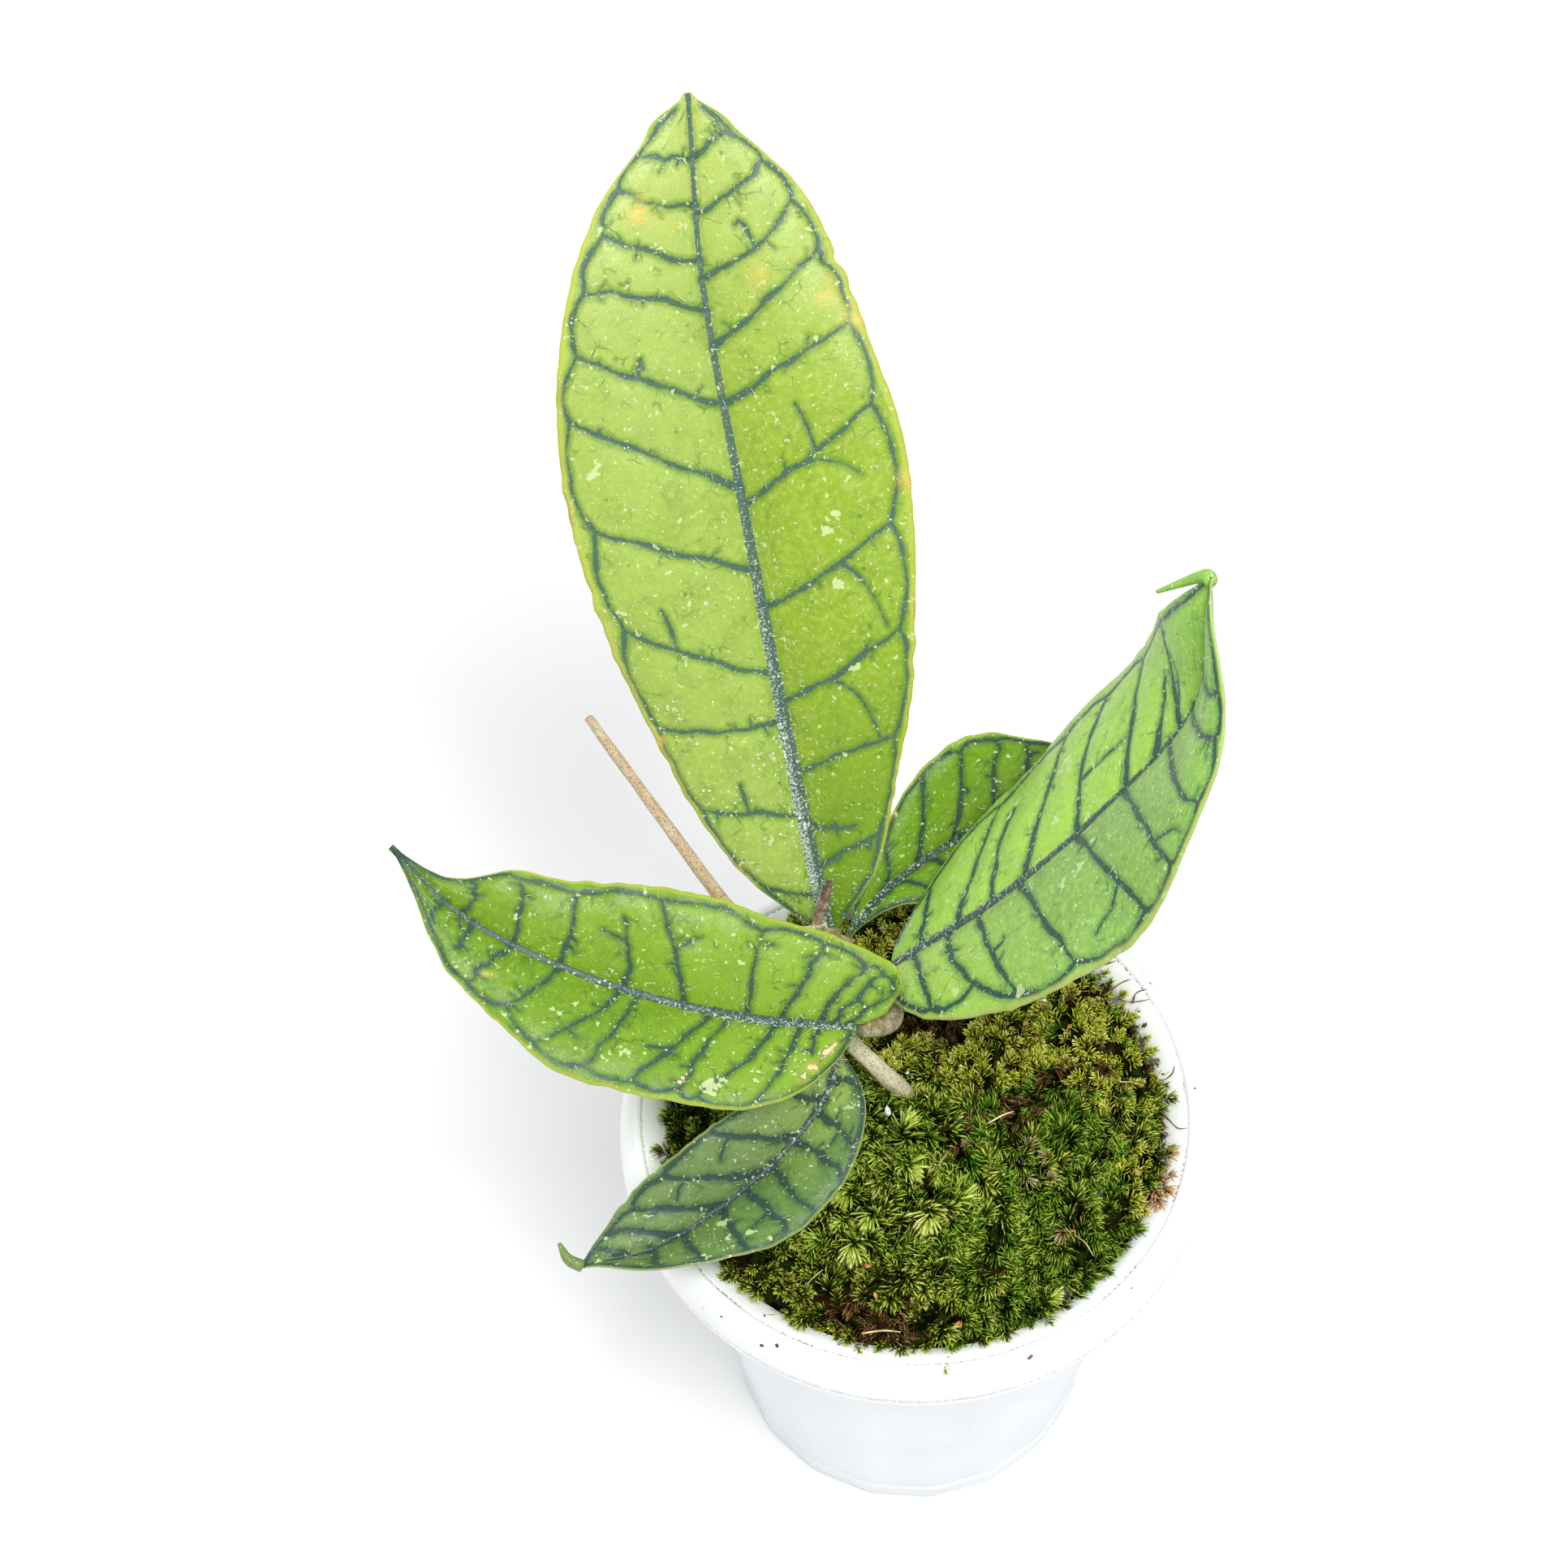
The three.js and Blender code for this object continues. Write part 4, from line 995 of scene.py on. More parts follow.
moss = {
    "radius": 50.1, "edgeHeight": 108.6, "dome": 4.2, "underside": 104.3, "sink": 2.4, "edgeLift": 2.2,
    "rings": 34, "around": 130,
    "swell": 0.7, "bedLumps": (1.2, 2.2),  # broad swell of the carpet, and the bed's coarse and fine lumps
    # hummocks and hollows: x, y, height, spread
    "humps": [(5, 21, -6.5, 9), (-4, -15, 3.0, 11), (30, -18, 2.2, 14), (17, 3, -3.5, 7), (36, 16, 1.8, 10),
              (-2, -38, 1.6, 9), (-20, 4, -2.5, 8), (-34, 20, 1.5, 10)],
    # brown dead spots: x, y, radius. Those from (9, -6) to (38, 9) run along the front edge of the raised
    # hummock and paint the shadow it casts there as well as the brown needles there
    "bare": [(-9, -44.5, 4.5), (-3.5, -43.5, 3.5), (-15, -42, 2.5), (9, -6, 2.6), (15, -4, 2.2), (21, -1, 3),
             (28, 1, 2.5), (31, 6, 2.4), (27, 11, 2), (38, 9, 2), (5, 24, 8), (0, 36, 6), (-38, -22, 3)],
    # gaps between tufts, where the bed's painted shade shows: x, y, radius
    "gaps": [(7, -7.5, 1.6), (3, -9.5, 1.2), (-13, -17, 1.2), (-5, -27, 1.3), (4, -27.5, 1.0), (-7, -35, 1.2),
             (-20, -26, 1.2), (11, -15, 0.9), (-15.5, -35, 1.3)],
    # tufts that stand out: kind, x, y, size, tint, the way it points and its lean in degrees
    "picked": [("lime", 1.3, -22.6, 1.3, 1.0, -92, 50), ("lime", 3.6, -22.4, 1.25, 0.7, 12, 70),
               ("lime", -2.9, -8.4, 1.05, 0.8, 62, 26), ("lime", -5.4, -11.4, 1.1, 0.5, -150, 44),
               ("lime", -3.0, -14.2, 1.15, 0.7, -70, 40), ("lime", -8.8, -23.2, 1.1, 0.4, -120, 42),
               ("lime", -13.0, -28.6, 1.2, 0.55, -110, 40), ("lime", -9.6, -15.8, 1.05, 0.4, 170, 38),
               ("lime", -18.4, -28.4, 1.0, 0.3, 180, 40), ("lime", -13.6, -24.2, 0.95, 0.3, -150, 40),
               ("lime", -11.6, -18.6, 1.1, 0.5, -160, 48), ("comb", 8.0, -31.6, 1.3, 1.0, 195, 52),
               ("comb", 3.4, -32.6, 1.25, 0.7, 185, 48), ("comb", 26.9, -36.2, 1.3, 1.0, -95, 46),
               ("lime", 21.8, -44.0, 0.85, 0.8, 30, 62), ("comb_dark", 28.6, -7.6, 1.35, 0.8, 100, 34),
               ("comb", 43.6, -8.2, 1.2, 0.9, 40, 36), ("comb_dark", 0.8, -1.8, 1.0, 0.5, -60, 30),
               ("comb_dark", 2.8, 2.8, 1.0, 0.3, 40, 30), ("dry", 2.8, 0.6, 0.9, 0.5, 0, 40),
               ("lime", 3.5, -14.8, 0.75, 0.2, -90, 40), ("blush", 21.4, -12.3, 0.9, 0.6, 60, 34),
               ("blush", 27.4, -14.0, 0.9, 0.9, 150, 30), ("blush", 20.4, -16.0, 0.9, 0.8, -60, 34),
               ("blush", 23.5, -18.4, 1.0, 1.0, 10, 38), ("blush", 28.6, -27.3, 1.0, 0.9, -120, 40),
               ("blush", 7.2, -27.6, 1.25, 0.5, 120, 40), ("blush", 12.5, -9.8, 0.9, 0.7, 170, 34),
               ("tan", 48.2, -12.6, 0.95, 0.5, 10, 52), ("tan", 47.9, -15.4, 1.0, 0.9, -30, 55),
               ("tan", 47.5, -17.6, 1.1, 1.0, -60, 55), ("tan", 46.8, -19.8, 1.0, 0.8, -80, 58),
               ("tan", 45.9, -18.0, 1.0, 1.0, -70, 50), ("tan", 46.4, -15.8, 0.9, 0.7, -40, 50),
               ("leafy", -14.8, -48.4, 0.8, 0.3, -72, 62), ("dry", -16.2, -47.6, 0.8, 0.1, -110, 60),
               ("leafy", 1.9, -50.7, 0.6, 0.6, -80, 80), ("leafy", 2.5, -52.4, 0.6, 0.8, -60, 84),
               ("leafy", 2.9, -54.3, 0.55, 0.7, -95, 86)],
    # what grows in each part of the carpet: every kind with the upper end of its share
    "mixes": {
        "rightEdge": [("comb", 0.6), ("leafy", 0.86), ("star", 1)],
        "back": [("leafy", 0.66), ("pointed", 0.84), ("comb", 0.93), ("dry", 1)],
        "frontLeft": [("pointed", 0.75), ("star", 1)],
        "left": [("star", 0.6), ("comb_dark", 0.85), ("comb", 1)],
        "right": [("comb_dark", 0.5), ("comb", 0.96), ("star", 1)],
    },
    "drift": 6,  # how far the borders between the parts wander
    "dryShare": 0.03,
    "variants": 9,
    "shoots": 2000,
    "crowding": 0.47,  # 0.5 spaces the shoots evenly, less puts more of them by the rim
    "jitter": 0.6,
    "sizes": (0.78, 1.15), "leans": (0.4, 1.4),  # as shares of the kind's own
    "middle": (-2, -15), "middleSize": 1.12, "outerSize": 0.85,  # the largest tufts stand here
    "edge": (41, 49), "edgeLean": 22,  # shoots by the rim lean out over it
    "clump": 1.7,
    "rooted": 1.2,  # how far a shoot's foot stands in the bed
    "curls": 2.5,  # more dry tufts in each brown spot, a millimetre of its radius
}
golden = math.pi * (3 - math.sqrt(5))  # the turn from one needle or shoot to the next
# Kinds of shoot. Lengths in millimetres, spread in degrees from the stem at its foot and at its top.
# gather turns the needles to one side, curl is how far a needle bends, in degrees, aim and droop say how much
# to that side and how much down, and tints run from the first colour to the second.
# deep is the colour low in a shoot, its own darker green deepened into painted shade; tip is the paler tips
# with a painted highlight.
mossKinds = {
    "comb": {"needles": 26, "length": (3.2, 4.8), "half": 0.3, "spread": (80, 14), "gather": 0.5, "curl": 78,
             "aim": 1.0, "droop": 0.3, "stem": 3.6, "lean": 28, "lift": 0.5, "deep": "0b1a03",
             "mid": ("3a6107", "5f760f"), "tip": ("a8d63d", "eeea72")},
    "comb_dark": {"needles": 26, "length": (3.1, 4.6), "half": 0.3, "spread": (80, 14), "gather": 0.5,
                  "curl": 78, "aim": 1.0, "droop": 0.3, "stem": 3.4, "lean": 28, "lift": 0.2,
                  "deep": "071402", "mid": ("2b4f06", "4b6a0c"), "tip": ("8cc02e", "cce860")},
    "star": {"needles": 26, "length": (2.9, 4.4), "half": 0.35, "spread": (80, 14), "gather": 0.4, "curl": 52,
             "aim": 0.8, "droop": 0.4, "stem": 4.4, "lean": 28, "lift": 0.9, "deep": "080e01",
             "mid": ("263c02", "4b5a06"), "tip": ("b2d634", "f2f47c")},
    "lime": {"needles": 36, "length": (3.3, 5.0), "half": 0.42, "spread": (74, 8), "gather": 0.75, "curl": 55,
             "aim": 1.0, "droop": 0.25, "stem": 4.6, "lean": 30, "lift": 3.0, "deep": "2c4408",
             "mid": ("8cb32c", "bcd04a"), "tip": ("dcee68", "fafa9e")},
    "blush": {"needles": 24, "length": (2.6, 3.8), "half": 0.3, "spread": (70, 8), "gather": 0.5, "curl": 50,
              "aim": 0.8, "droop": 0.3, "stem": 4.4, "lean": 30, "lift": 1.6, "deep": "241e0c",
              "mid": ("7c7a38", "98864e"), "tip": ("d2bf8a", "e8d8ac")},
    "leafy": {"needles": 15, "length": (1.7, 2.8), "half": 0.42, "spread": (60, 22), "gather": 0.4,
              "curl": 30, "aim": 0.5, "droop": 0.3, "stem": 4.8, "lean": 46, "lift": 0.7, "deep": "241a06",
              "mid": ("889a14", "c4c230"), "tip": ("e8ea50", "fffaa0")},
    "pointed": {"needles": 24, "length": (1.7, 2.8), "half": 0.36, "spread": (54, 18), "gather": 0.3,
                "curl": 30, "aim": 0.4, "droop": 0.4, "stem": 4.8, "lean": 42, "lift": 0.5, "deep": "0e1402",
                "mid": ("3c5308", "69760f"), "tip": ("b8d038", "f4f46e")},
    "dry": {"needles": 20, "length": (3.0, 4.6), "half": 0.22, "spread": (85, 25), "gather": 0.6, "curl": 150,
            "aim": 1.0, "droop": 0.2, "stem": 3.0, "lean": 30, "lift": 0.5, "deep": "140a05",
            "mid": ("4a301a", "7a5a34"), "tip": ("94703f", "ccab74")},
    "tan": {"needles": 28, "length": (2.6, 4.0), "half": 0.28, "spread": (76, 20), "gather": 0.6, "curl": 45,
            "aim": 0.8, "droop": 0.4, "stem": 3.6, "lean": 40, "lift": 1.4, "deep": "3a1e0a",
            "mid": ("bb8a4a", "d2a566"), "tip": ("e6c892", "f6e8c0")},
}


def mossHeight(x, y):
    radius = min(math.hypot(x, y) / moss["radius"], 1)
    height = moss["edgeHeight"] + moss["dome"] * (1 - radius * radius)
    for hx, hy, rise, spread in moss["humps"]:
        away = ((x - hx) ** 2 + (y - hy) ** 2) / spread ** 2
        height += rise * math.exp(-away) * (1 - radius ** 6)
    return height + moss["swell"] * math.sin(x * 0.61 + 1) * math.cos(y * 0.53) * (1 - radius ** 6)


def mossKindAt(x, y, chance):
    # which kind grows at a place: drifts of each kind, with brown spots between
    drift = moss["drift"] * noise.noise((x * 0.09, y * 0.09, 1.7))
    for bx, by, radius in moss["bare"]:
        if math.hypot(x - bx + drift * 0.3, y - by) < radius * chance.uniform(0.7, 1.1):
            return "dry"
    draw = chance.random()
    if draw < moss["dryShare"]:
        return "dry"
    part = "right"
    if x > 41 and y < 2:
        part = "rightEdge"
    elif y + drift > 5 and x > -12 or x > 38 and y > -4:
        part = "back"
    elif y + drift < -31 and x < 4 or x + drift < -24:
        part = "frontLeft"
    elif x + drift < 6:
        part = "left"
    return next(kind for kind, share in moss["mixes"][part] if draw < share)


needle = {
    "halfWidth": (1.35, 0.5),  # at the foot and the tip, as shares of the kind's own
    "flatness": 0.4,
    "widest": 0.75,  # below 1 the needle is widest towards its foot
    "lowest": 0.35,  # how far up the stem the needles start
    "topLength": 0.75,
    "untidy": 9, "turnUntidy": 0.3, "curls": (0.75, 1.25),
    "tones": (0.65, 1.1), "darkest": 0.2,
}


def addNeedle(bm, rise, kind, place, length, curl, side, tone):
    # one moss leaf: a slim flattened spindle of three sides, bent round an arc
    across = Vector((0, 0, 1)).cross(side)
    foot, tip = needle["halfWidth"]
    for v in bmesh.ops.create_uvsphere(bm, u_segments=3, v_segments=3, radius=1)["verts"]:
        share = ((v.co.z + 1) / 2) ** needle["widest"]
        wide = kind["half"] * (foot - (foot - tip) * share)
        v[rise] = share * tone
        turned, thick = curl * share, Vector((v.co.x * wide * needle["flatness"], v.co.y * wide, 0))
        outward = length * (1 - math.cos(turned)) / curl + math.cos(turned) * thick.dot(side)
        upward = length * math.sin(turned) / curl - math.sin(turned) * thick.dot(side)
        v.co = place @ (side * outward + across * thick.dot(across) + Vector((0, 0, upward)))


def mossShoot(name, kind, chance):
    # a shoot: needles in a spiral on a stem that isn't seen, their ends swept towards +X
    bm = bmesh.new()
    rise = bm.verts.layers.float.new("rise")
    bm.verts.layers.float.new("tint")
    aim, droop = kind["aim"], kind["droop"]
    for i in range(kind["needles"]):
        share = (i + 0.5) / kind["needles"]
        length = between(*kind["length"], chance.random()) * between(1.0, needle["topLength"], share ** 2)
        untidy = chance.uniform(-needle["untidy"], needle["untidy"])
        spread = math.radians(between(*kind["spread"], share) + untidy)
        turn = i * golden + chance.uniform(-needle["turnUntidy"], needle["turnUntidy"])
        turn -= kind["gather"] * math.sin(turn)
        foot = Matrix.Translation((0, 0, kind["stem"] * between(needle["lowest"], 1.0, share)))
        place = foot @ Matrix.Rotation(turn, 4, "Z") @ Matrix.Rotation(spread, 4, "Y")
        side = Vector((aim * math.cos(turn) + droop, -aim * math.sin(turn), 0)).normalized()
        curl = math.radians(kind["curl"] * chance.uniform(*needle["curls"]))
        addNeedle(bm, rise, kind, place, length, curl, side, chance.uniform(*needle["tones"]))
    top = kind["stem"] + kind["length"][0] * 0.6
    # The moss's tips are paler by nature too; the dark low in the tuft is painted shade, and the pale top is
    # partly a painted highlight.
    for v in bm.verts:  # pale at the needles' tips and the shoot's top, dark low down: painted shade and highlight
        v[rise] = between(needle["darkest"], 1.0, v[rise]) * smoothStep(0.0, 0.8, v.co.z / top)
    mesh = bpy.data.meshes.new(name)
    bm.to_mesh(mesh)
    bm.free()
    return mesh


def mossLook(name, kind):
    look = Look(name, Specular_IOR_Level=0.1, Roughness=0.45)
    rise, tint = look.value("rise"), look.value("tint")
    # deep to mid to tip along rise: painted shade low in the tuft, then the tips' own paler colour with a
    # painted highlight at the top
    return look.finish(look.layers(kind["deep"], [
        (rise, 0.1, 0.5, 1, look.mix(tint, *kind["mid"])),
        (rise, 0.48, 0.88, 1, look.mix(tint, *kind["tip"])),
        (look.noise(240, 2), 0.56, 0.7, 0.35, "6e5a22"),
        (look.noise(1300, 2), 0.5, 0.7, 0.4, kind["deep"]),
    ]))


def mossBed():
    # the dense cushion that the shoots stand in: a square grid bent round into a lumpy disc. Its near-black
    # colour is painted shade deep between the shoots.
    bm = bmesh.new()
    bmesh.ops.create_grid(bm, x_segments=moss["rings"], y_segments=moss["around"], size=1)
    for v in bm.verts:
        radius, angle = (v.co.x + 1) / 2 * (moss["radius"] - 0.6), (v.co.y + 1) * math.pi
        v.co = (radius * math.cos(angle), radius * math.sin(angle), 0)
    bmesh.ops.remove_doubles(bm, verts=bm.verts, dist=1e-4)
    made = bmesh.ops.extrude_face_region(bm, geom=bm.faces[:], use_keep_orig=True)["geom"]
    upper = {v for v in made if isinstance(v, bmesh.types.BMVert)}
    coarse, fine = moss["bedLumps"]
    for v in bm.verts:
        x, y = v.co.xy
        v.co.z = moss["underside"]
        if v in upper:
            lump = coarse * noise.noise((x * 0.5, y * 0.5, 0)) + fine * noise.noise((x * 1.1, y * 1.1, 3))
            v.co.z = max(mossHeight(x, y) - moss["sink"] + lump, v.co.z + 0.2)
    bmesh.ops.recalc_face_normals(bm, faces=bm.faces)
    look = Look("moss_bed", Roughness=0.9, Specular_IOR_Level=0.0)
    # near black: painted shade between the shoots, over the cushion's own dark green and brown
    colour = look.layers("0a0c04", [
        (look.noise(500, 4), 0.42, 0.6, 1, "26330c"),
        (look.noise(120, 3), 0.5, 0.65, 0.8, "2c1a0d"),
    ])
    finishPiece("moss_bed", bm, [look.finish(colour, None, look.noise(900, 4), 0.5)], ["moss_carpet"])


def mossShoots(chance):
    # every shoot: kind, x, y, size, tint, the way it points and its lean
    shoots = [(*pick[:5], math.radians(pick[5]), math.radians(pick[6])) for pick in moss["picked"]]
    jitter = moss["jitter"]
    for i in range(moss["shoots"]):
        radius = (moss["radius"] - 0.7) * ((i + 0.5) / moss["shoots"]) ** moss["crowding"]
        x = radius * math.cos(i * golden) + chance.uniform(-jitter, jitter)
        y = radius * math.sin(i * golden) + chance.uniform(-jitter, jitter)
        name = mossKindAt(x, y, chance)
        if any(math.hypot(x - gx, y - gy) < reach for gx, gy, reach in moss["gaps"]):
            continue
        radius, angle = math.hypot(x, y), math.atan2(y, x)
        # neighbours lean the same way, but the ones by the rim lean outwards
        edge = smoothStep(*moss["edge"], radius)
        field = 4 * math.pi * noise.noise((x * 0.045, y * 0.045, 4.4)) + chance.uniform(-0.7, 0.7)
        heading = angle + chance.uniform(-0.6, 0.6) if chance.random() < edge else field
        lean = mossKinds[name]["lean"] * chance.uniform(*moss["leans"]) + moss["edgeLean"] * edge
        fromMiddle = math.hypot(x - moss["middle"][0], y - moss["middle"][1])
        size = chance.uniform(*moss["sizes"])
        size *= between(moss["middleSize"], moss["outerSize"], smoothStep(8, 40, fromMiddle))
        shoots.append((name, x, y, size, chance.random() ** 1.3, heading, math.radians(lean)))
        if name == "leafy" and radius < moss["radius"] - 2:  # small shoots grow closer
            shoots.append((name, x + chance.uniform(-1.3, 1.3), y + chance.uniform(-1.3, 1.3), size,
                           chance.random() ** 1.3, heading + chance.uniform(-1, 1), math.radians(lean) * 0.8))
    for x, y, radius in moss["bare"]:
        for i in range(int(radius * moss["curls"])):
            angle, away = chance.uniform(0, 6.28), radius * math.sqrt(chance.random())
            shoots.append(("dry", x + away * math.cos(angle), y + away * math.sin(angle),
                           chance.uniform(0.7, 1.2), chance.random(), angle,
                           math.radians(chance.uniform(10, 60))))
    return shoots


def shootHeight(name, x, y):
    radius = math.hypot(x, y)
    if radius > moss["radius"]:
        height = rimHeight(radius) + 0.5
    else:
        clump = moss["clump"] * noise.noise((x * 0.22, y * 0.22, 8.0))
        height = mossHeight(x, y) - moss["sink"] - moss["rooted"] + mossKinds[name]["lift"] + clump
        height += moss["edgeLift"] * smoothStep(44, 50, radius)
    return max(height, moss["underside"] + 0.6)


def makeMoss():
    mossBed()
    chance = random.Random(11)
    carpets, shapes = {}, {}
    for name, kind in mossKinds.items():
        carpets[name] = bmesh.new()
        carpets[name].verts.layers.float.new("rise")
        carpets[name].verts.layers.float.new("tint")
        shapes[name] = [mossShoot(f"{name}_{i}", kind, chance) for i in range(moss["variants"])]
    for name, x, y, size, tint, heading, lean in mossShoots(chance):
        place = Matrix.Translation((x, y, shootHeight(name, x, y)))
        for angle, axis in ((heading, "Z"), (lean, "Y"), (chance.uniform(-0.5, 0.5), "Z")):
            place = place @ Matrix.Rotation(angle, 4, axis)
        copy = chance.choice(shapes[name]).copy()
        copy.transform(place @ Matrix.Scale(size, 4))
        copy.attributes["tint"].data.foreach_set("value", [tint] * len(copy.vertices))
        carpets[name].from_mesh(copy)
        bpy.data.meshes.remove(copy)
    for name, bm in carpets.items():
        finishPiece(f"moss_{name}", bm, [mossLook(f"moss_{name}", mossKinds[name])], ["moss_carpet"])


# Litter: perlite, straw, flakes, bark crumbs and rootlets in the moss and on the rim

litter = {
    # x, y, size, and below how flat they are and how high they lie over the carpet
    "perlite": [(-5.6, -3.4, 1.0), (28, 22, 0.5), (-12, -30, 0.3), (-1, 6, 0.4)],
    "flakes": [(20.8, -13.9, 1.1), (27.1, -41.0, 1.7), (9.0, -4.5, 0.7), (23, -9, 0.5), (36, -21, 0.6),
               (-6, -31, 0.6), (41, -30, 0.6), (34, -12, 0.4), (24, -33, 0.4), (44, -6, 0.5)],
    "chips": [(29.6, -28.6, 0.6), (5.9, -46.6, 0.8), (-11.2, -34.4, 0.8), (-10, -40, 0.5), (14, -41, 0.4),
              (33, 17, 0.6), (24, 18, 0.5), (44, 3, 0.6), (42, -8, 0.4)],
    "straws": [((14.6, -5.2, 114.4), (19.9, -3.2, 115.2), 0.2), ((3, -16, 115.5), (6, -12.5, 117.5), 0.12),
               ((-6, -17, 115.5), (-9.5, -22, 116.5), 0.13), ((12, 9, 111.5), (14, 5, 113.5), 0.14),
               ((30, -30, 113), (33, -35, 114), 0.12), ((-20, -34, 111), (-24, -38, 112), 0.12),
               ((-13, -47.6, 110.4), (-5.5, -48, 111.2), 0.2), ((42, 4, 112), (46.5, 2.5, 112.6), 0.14)],
    "rootlets": [[(40, 23.2, 1), (43, 24, 1), (46.5, 23.2, 1), (50, 22.9, 0.6)],
                 [(42, 26, 1), (44.5, 27.6, 1), (46.6, 28, 0.4)],
                 [(46.5, 22.9, 1), (47.4, 24.6, 1.2), (49.6, 25, 0.8)],
                 [(48.5, 6, 1), (50.8, 5.2, 0.6), (52.8, 5.8, 0.4), (53.6, 7.4, 0.3)],
                 [(49.5, -2, 1), (51.2, -3.6, 0.5), (52.8, -6.4, 0.3), (54.6, -6.9, 0.2)],
                 [(-18, -44.5, 1.2), (-15.4, -47.6, 1.2), (-14.1, -50, 0.8), (-13.8, -52, 0.3)],
                 [(38, 31, 1), (41.5, 32, 1.2), (44, 32.5, 0.5)]],
    "rimCrumbs": [(48.5, 18, 1.0), (19.2, -54.4, 0.7), (-40.2, -42.5, 0.35), (-32.6, -48.7, 0.5),
                  (-29.5, -49.5, 0.5), (-31.8, -43.1, 0.45), (-37, 45, 0.5), (57, 2, 0.3), (50.5, 27, 0.3),
                  (40, -41, 0.3), (-52, -22, 0.4), (8, 55.5, 0.4)],
    "rootRadii": [0.13, 0.16, 0.09, 0.12, 0.05], "rootLumps": 0.7,
    "flat": {"perlite": 0.8, "flakes": 0.3, "chips": 0.4},
    "rise": {"perlite": 4.2, "flakes": 1.6, "chips": 1.4},
    "bark": 80, "barkSize": (0.25, 0.6), "barkRise": (-0.8, 1.0), "barkReach": 48,
}


def rimHeight(radius):
    # top of the rim's lip and bead
    outline = pot["rim"][:8]
    for (ra, ha), (rb, hb) in zip(outline, outline[1:]):
        if ra <= radius <= rb:
            return between(ha, hb, (radius - ra) / max(rb - ra, 1e-6))
    return pot["rim"][0][1]


def groundHeight(x, y):
    # what a bit of litter lies on: the shoots' tops, or the rim
    radius = math.hypot(x, y)
    return rimHeight(radius) if radius > pot["rim"][0][0] else mossHeight(x, y) + 0.8


def addLump(bm, place, size, chance, flat=0.6):
    made = bmesh.ops.create_icosphere(bm, subdivisions=1, radius=size)["verts"]
    seed = chance.uniform(0, 99)
    stretch = chance.uniform(0.45, 0.9)
    for v in made:
        v.co *= 1 + 0.9 * noise.noise(v.co / size * 1.1 + Vector((seed, 0, 0)))
        v.co.z *= flat
        v.co.y *= stretch
    turn = Matrix.Rotation(chance.uniform(0, 6.28), 4, "Z")
    tilt = Matrix.Rotation(chance.uniform(-0.7, 0.7), 4, "X")
    bmesh.ops.transform(bm, matrix=Matrix.Translation(place) @ (turn @ tilt), verts=made)


def litterLook(name, first, second, scale=300):
    look = Look(name, Roughness=0.8, Specular_IOR_Level=0.2)
    colour = look.layers(first, [(look.noise(scale), 0.4, 0.6, 1, second)])
    return look.finish(colour, None, look.noise(1600), 0.15)


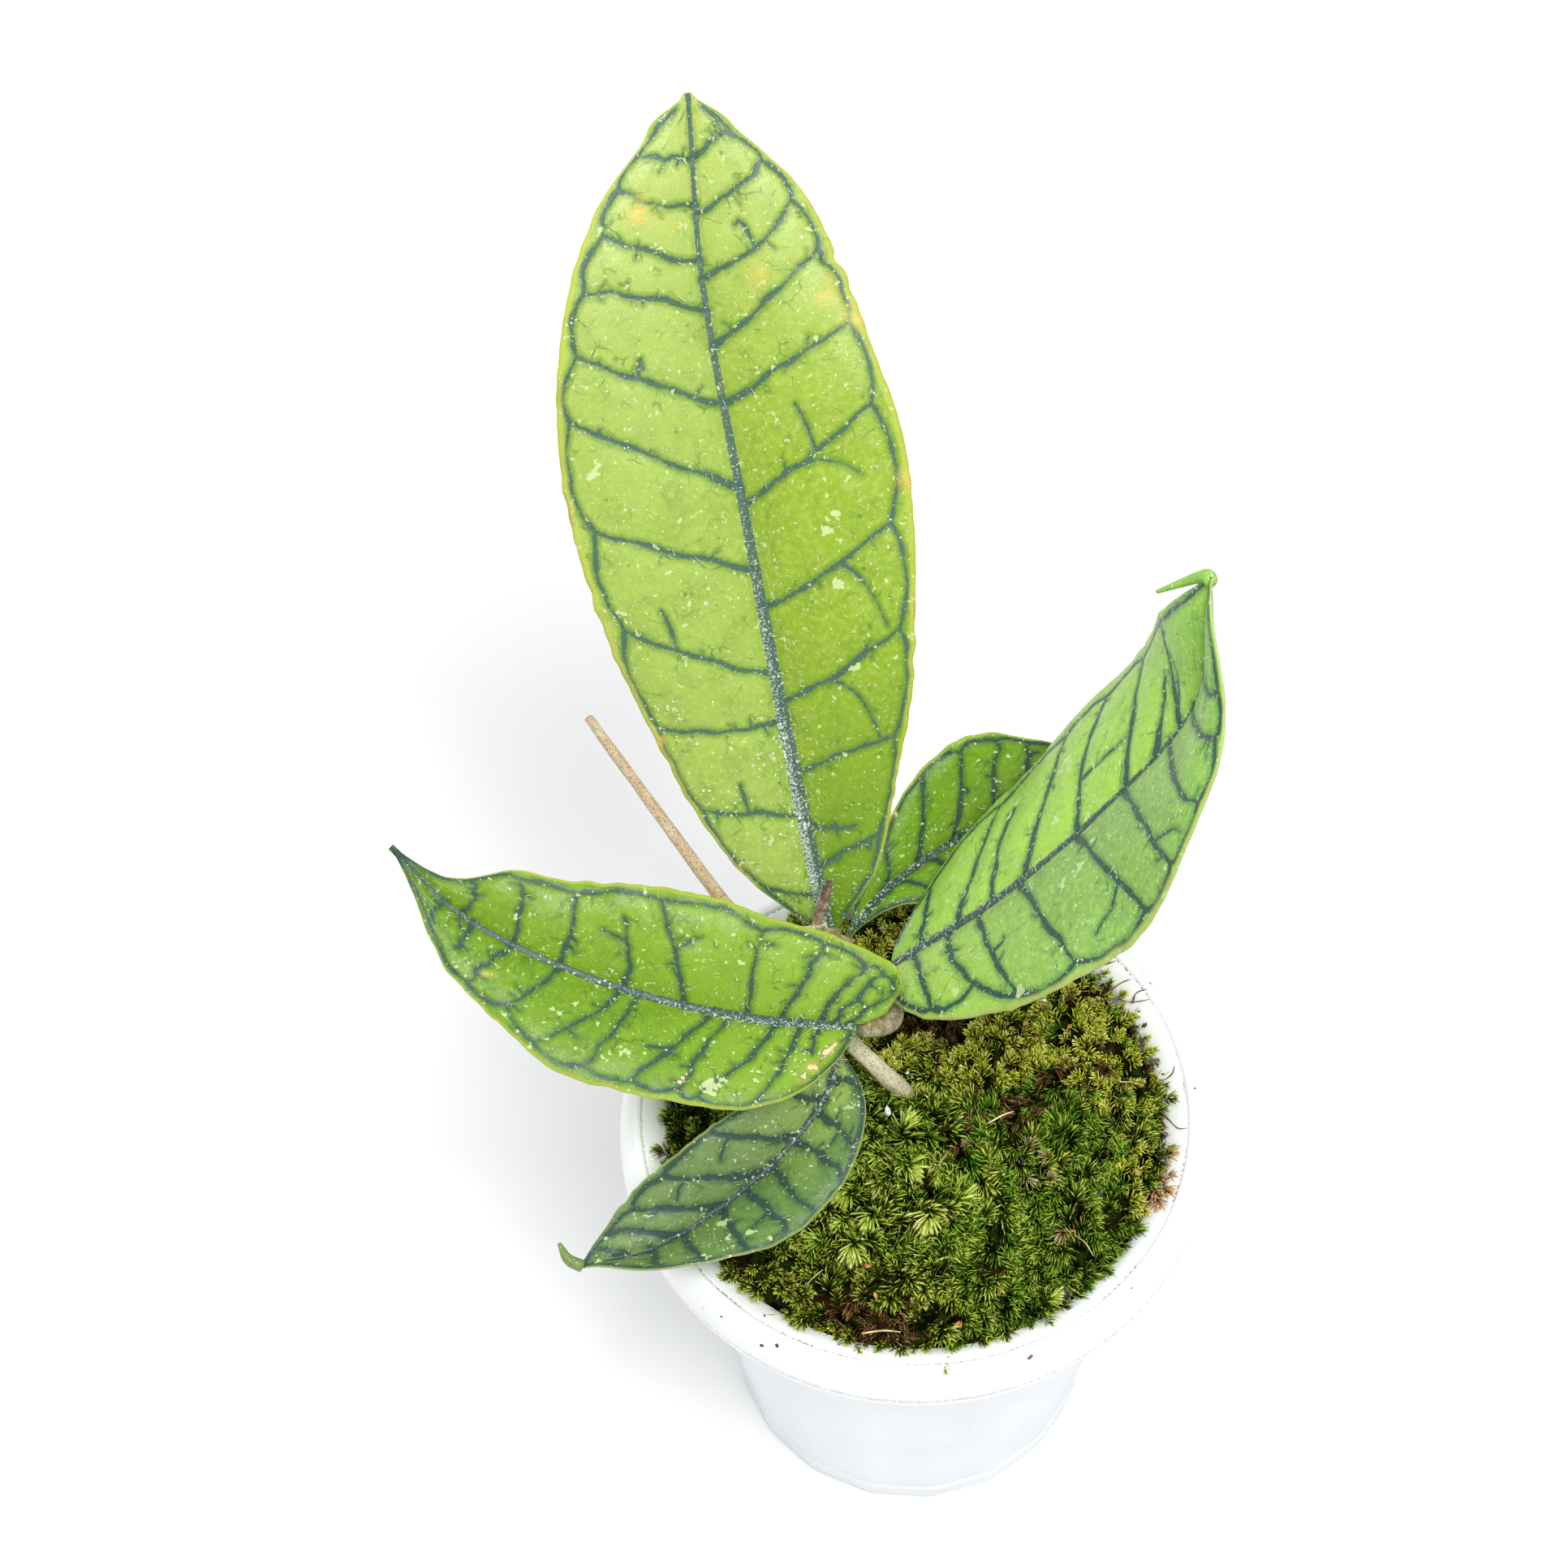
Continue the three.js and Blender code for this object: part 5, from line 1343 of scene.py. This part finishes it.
def makeLitter():
    chance = random.Random(5)
    for kind, name, look in (("perlite", "perlite_grains", litterLook("perlite", "f6f6f2", "d9d6cc", 900)),
                             ("flakes", "dark_flakes", litterLook("flake", "2b2536", "4a3f58")),
                             ("chips", "bark_chips", litterLook("chip", "b96f3e", "d89a6c"))):
        bm = bmesh.new()
        for x, y, size in litter[kind]:
            height = mossHeight(x, y) + litter["rise"][kind]
            addLump(bm, (x, y, height), size, chance, litter["flat"][kind])
        finishPiece(name, bm, [look], flat=True)

    bm = bmesh.new()
    for a, b, radius in litter["straws"]:
        middle = (Vector(a) + Vector(b)) / 2 + Vector((0.3, 0.3, 0.3))
        addRod(bm, [(*a, radius), (*middle, radius), (*b, radius * 0.5)], around=6, step=1)
    finishPiece("straws", bm, [litterLook("straw", "e9dfa8", "c0a868")])

    bm = bmesh.new()
    for line in litter["rootlets"]:
        line = [(x, y, groundHeight(x, y) + lift) for x, y, lift in line]
        bark = barkRelief(line[0][1], litter["rootLumps"])
        addRod(bm, line, litter["rootRadii"], around=6, step=0.4, relief=bark)
    for x, y, size in litter["rimCrumbs"]:
        addLump(bm, (x, y, groundHeight(x, y) + size * 0.2), size, chance, 0.5)
    for i in range(litter["bark"]):
        angle, radius = chance.uniform(0, 6.28), litter["barkReach"] * math.sqrt(chance.random())
        x, y = radius * math.cos(angle), radius * math.sin(angle)
        height = mossHeight(x, y) + chance.uniform(*litter["barkRise"])
        addLump(bm, (x, y, height), chance.uniform(*litter["barkSize"]), chance, 0.5)
    finishPiece("bark_crumbs", bm, [litterLook("crumbs", "4e3222", "83603f", 150)])


def dressMix():
    # the potting mix under the moss keeps its own shape
    look = Look("potting_mix", Roughness=0.95)
    colour = look.layers("1d140c", [
        (look.noise(400, 5), 0.4, 0.6, 1, "4a3522"),
        (look.cells(300), 0.2, 0.1, 0.8, "86705a"),
    ])
    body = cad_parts["growing_mix"]
    body.data.materials.clear()
    body.data.materials.append(look.finish(colour, None, look.noise(700, 5), 0.8))


# Floor and light

studio = {
    "floorSize": 3000,
    "world": (0.97, 0.985, 1.0), "worldStrength": 0.6,
    # name, place, aims at, size, power in watts
    "lights": [("key", (200, -420, 1300), (0, 20, 120), 560, 13.5),
               ("fill", (-600, 500, 900), (0, 0, 120), 800, 3.0)],
}


def makeStudio():
    bm = bmesh.new()
    bmesh.ops.create_grid(bm, x_segments=1, y_segments=1, size=studio["floorSize"] / 2 * mm)
    mesh = bpy.data.meshes.new("floor")
    bm.to_mesh(mesh)
    bm.free()
    floor = bpy.data.objects.new("floor", mesh)
    bpy.context.scene.collection.objects.link(floor)
    look = Look("floor", Base_Color=(0.93, 0.93, 0.93, 1), Roughness=0.9, Specular_IOR_Level=0.1)
    mesh.materials.append(look.material)
    for name, place, aim, size, power in studio["lights"]:
        light = bpy.data.lights.new(name, "AREA")
        light.shape, light.size, light.energy = "DISK", size * mm, power
        lamp = bpy.data.objects.new(name, light)
        lamp.location = Vector(place) * mm
        lamp.rotation_euler = (Vector(place) - Vector(aim)).to_track_quat("Z", "Y").to_euler()
        bpy.context.scene.collection.objects.link(lamp)
    world = bpy.data.worlds.new("studio")
    world.use_nodes = True
    sky = world.node_tree.nodes["Background"].inputs
    sky[0].default_value = (*studio["world"], 1)
    sky[1].default_value = studio["worldStrength"]
    bpy.context.scene.world = world
    bpy.context.scene.view_settings.view_transform = "Standard"


makeCamera()
makeStudio()
makePot()
dressMix()
makeMoss()
makeStem()
makeLeaves()
makeLitter()
print("scene built")
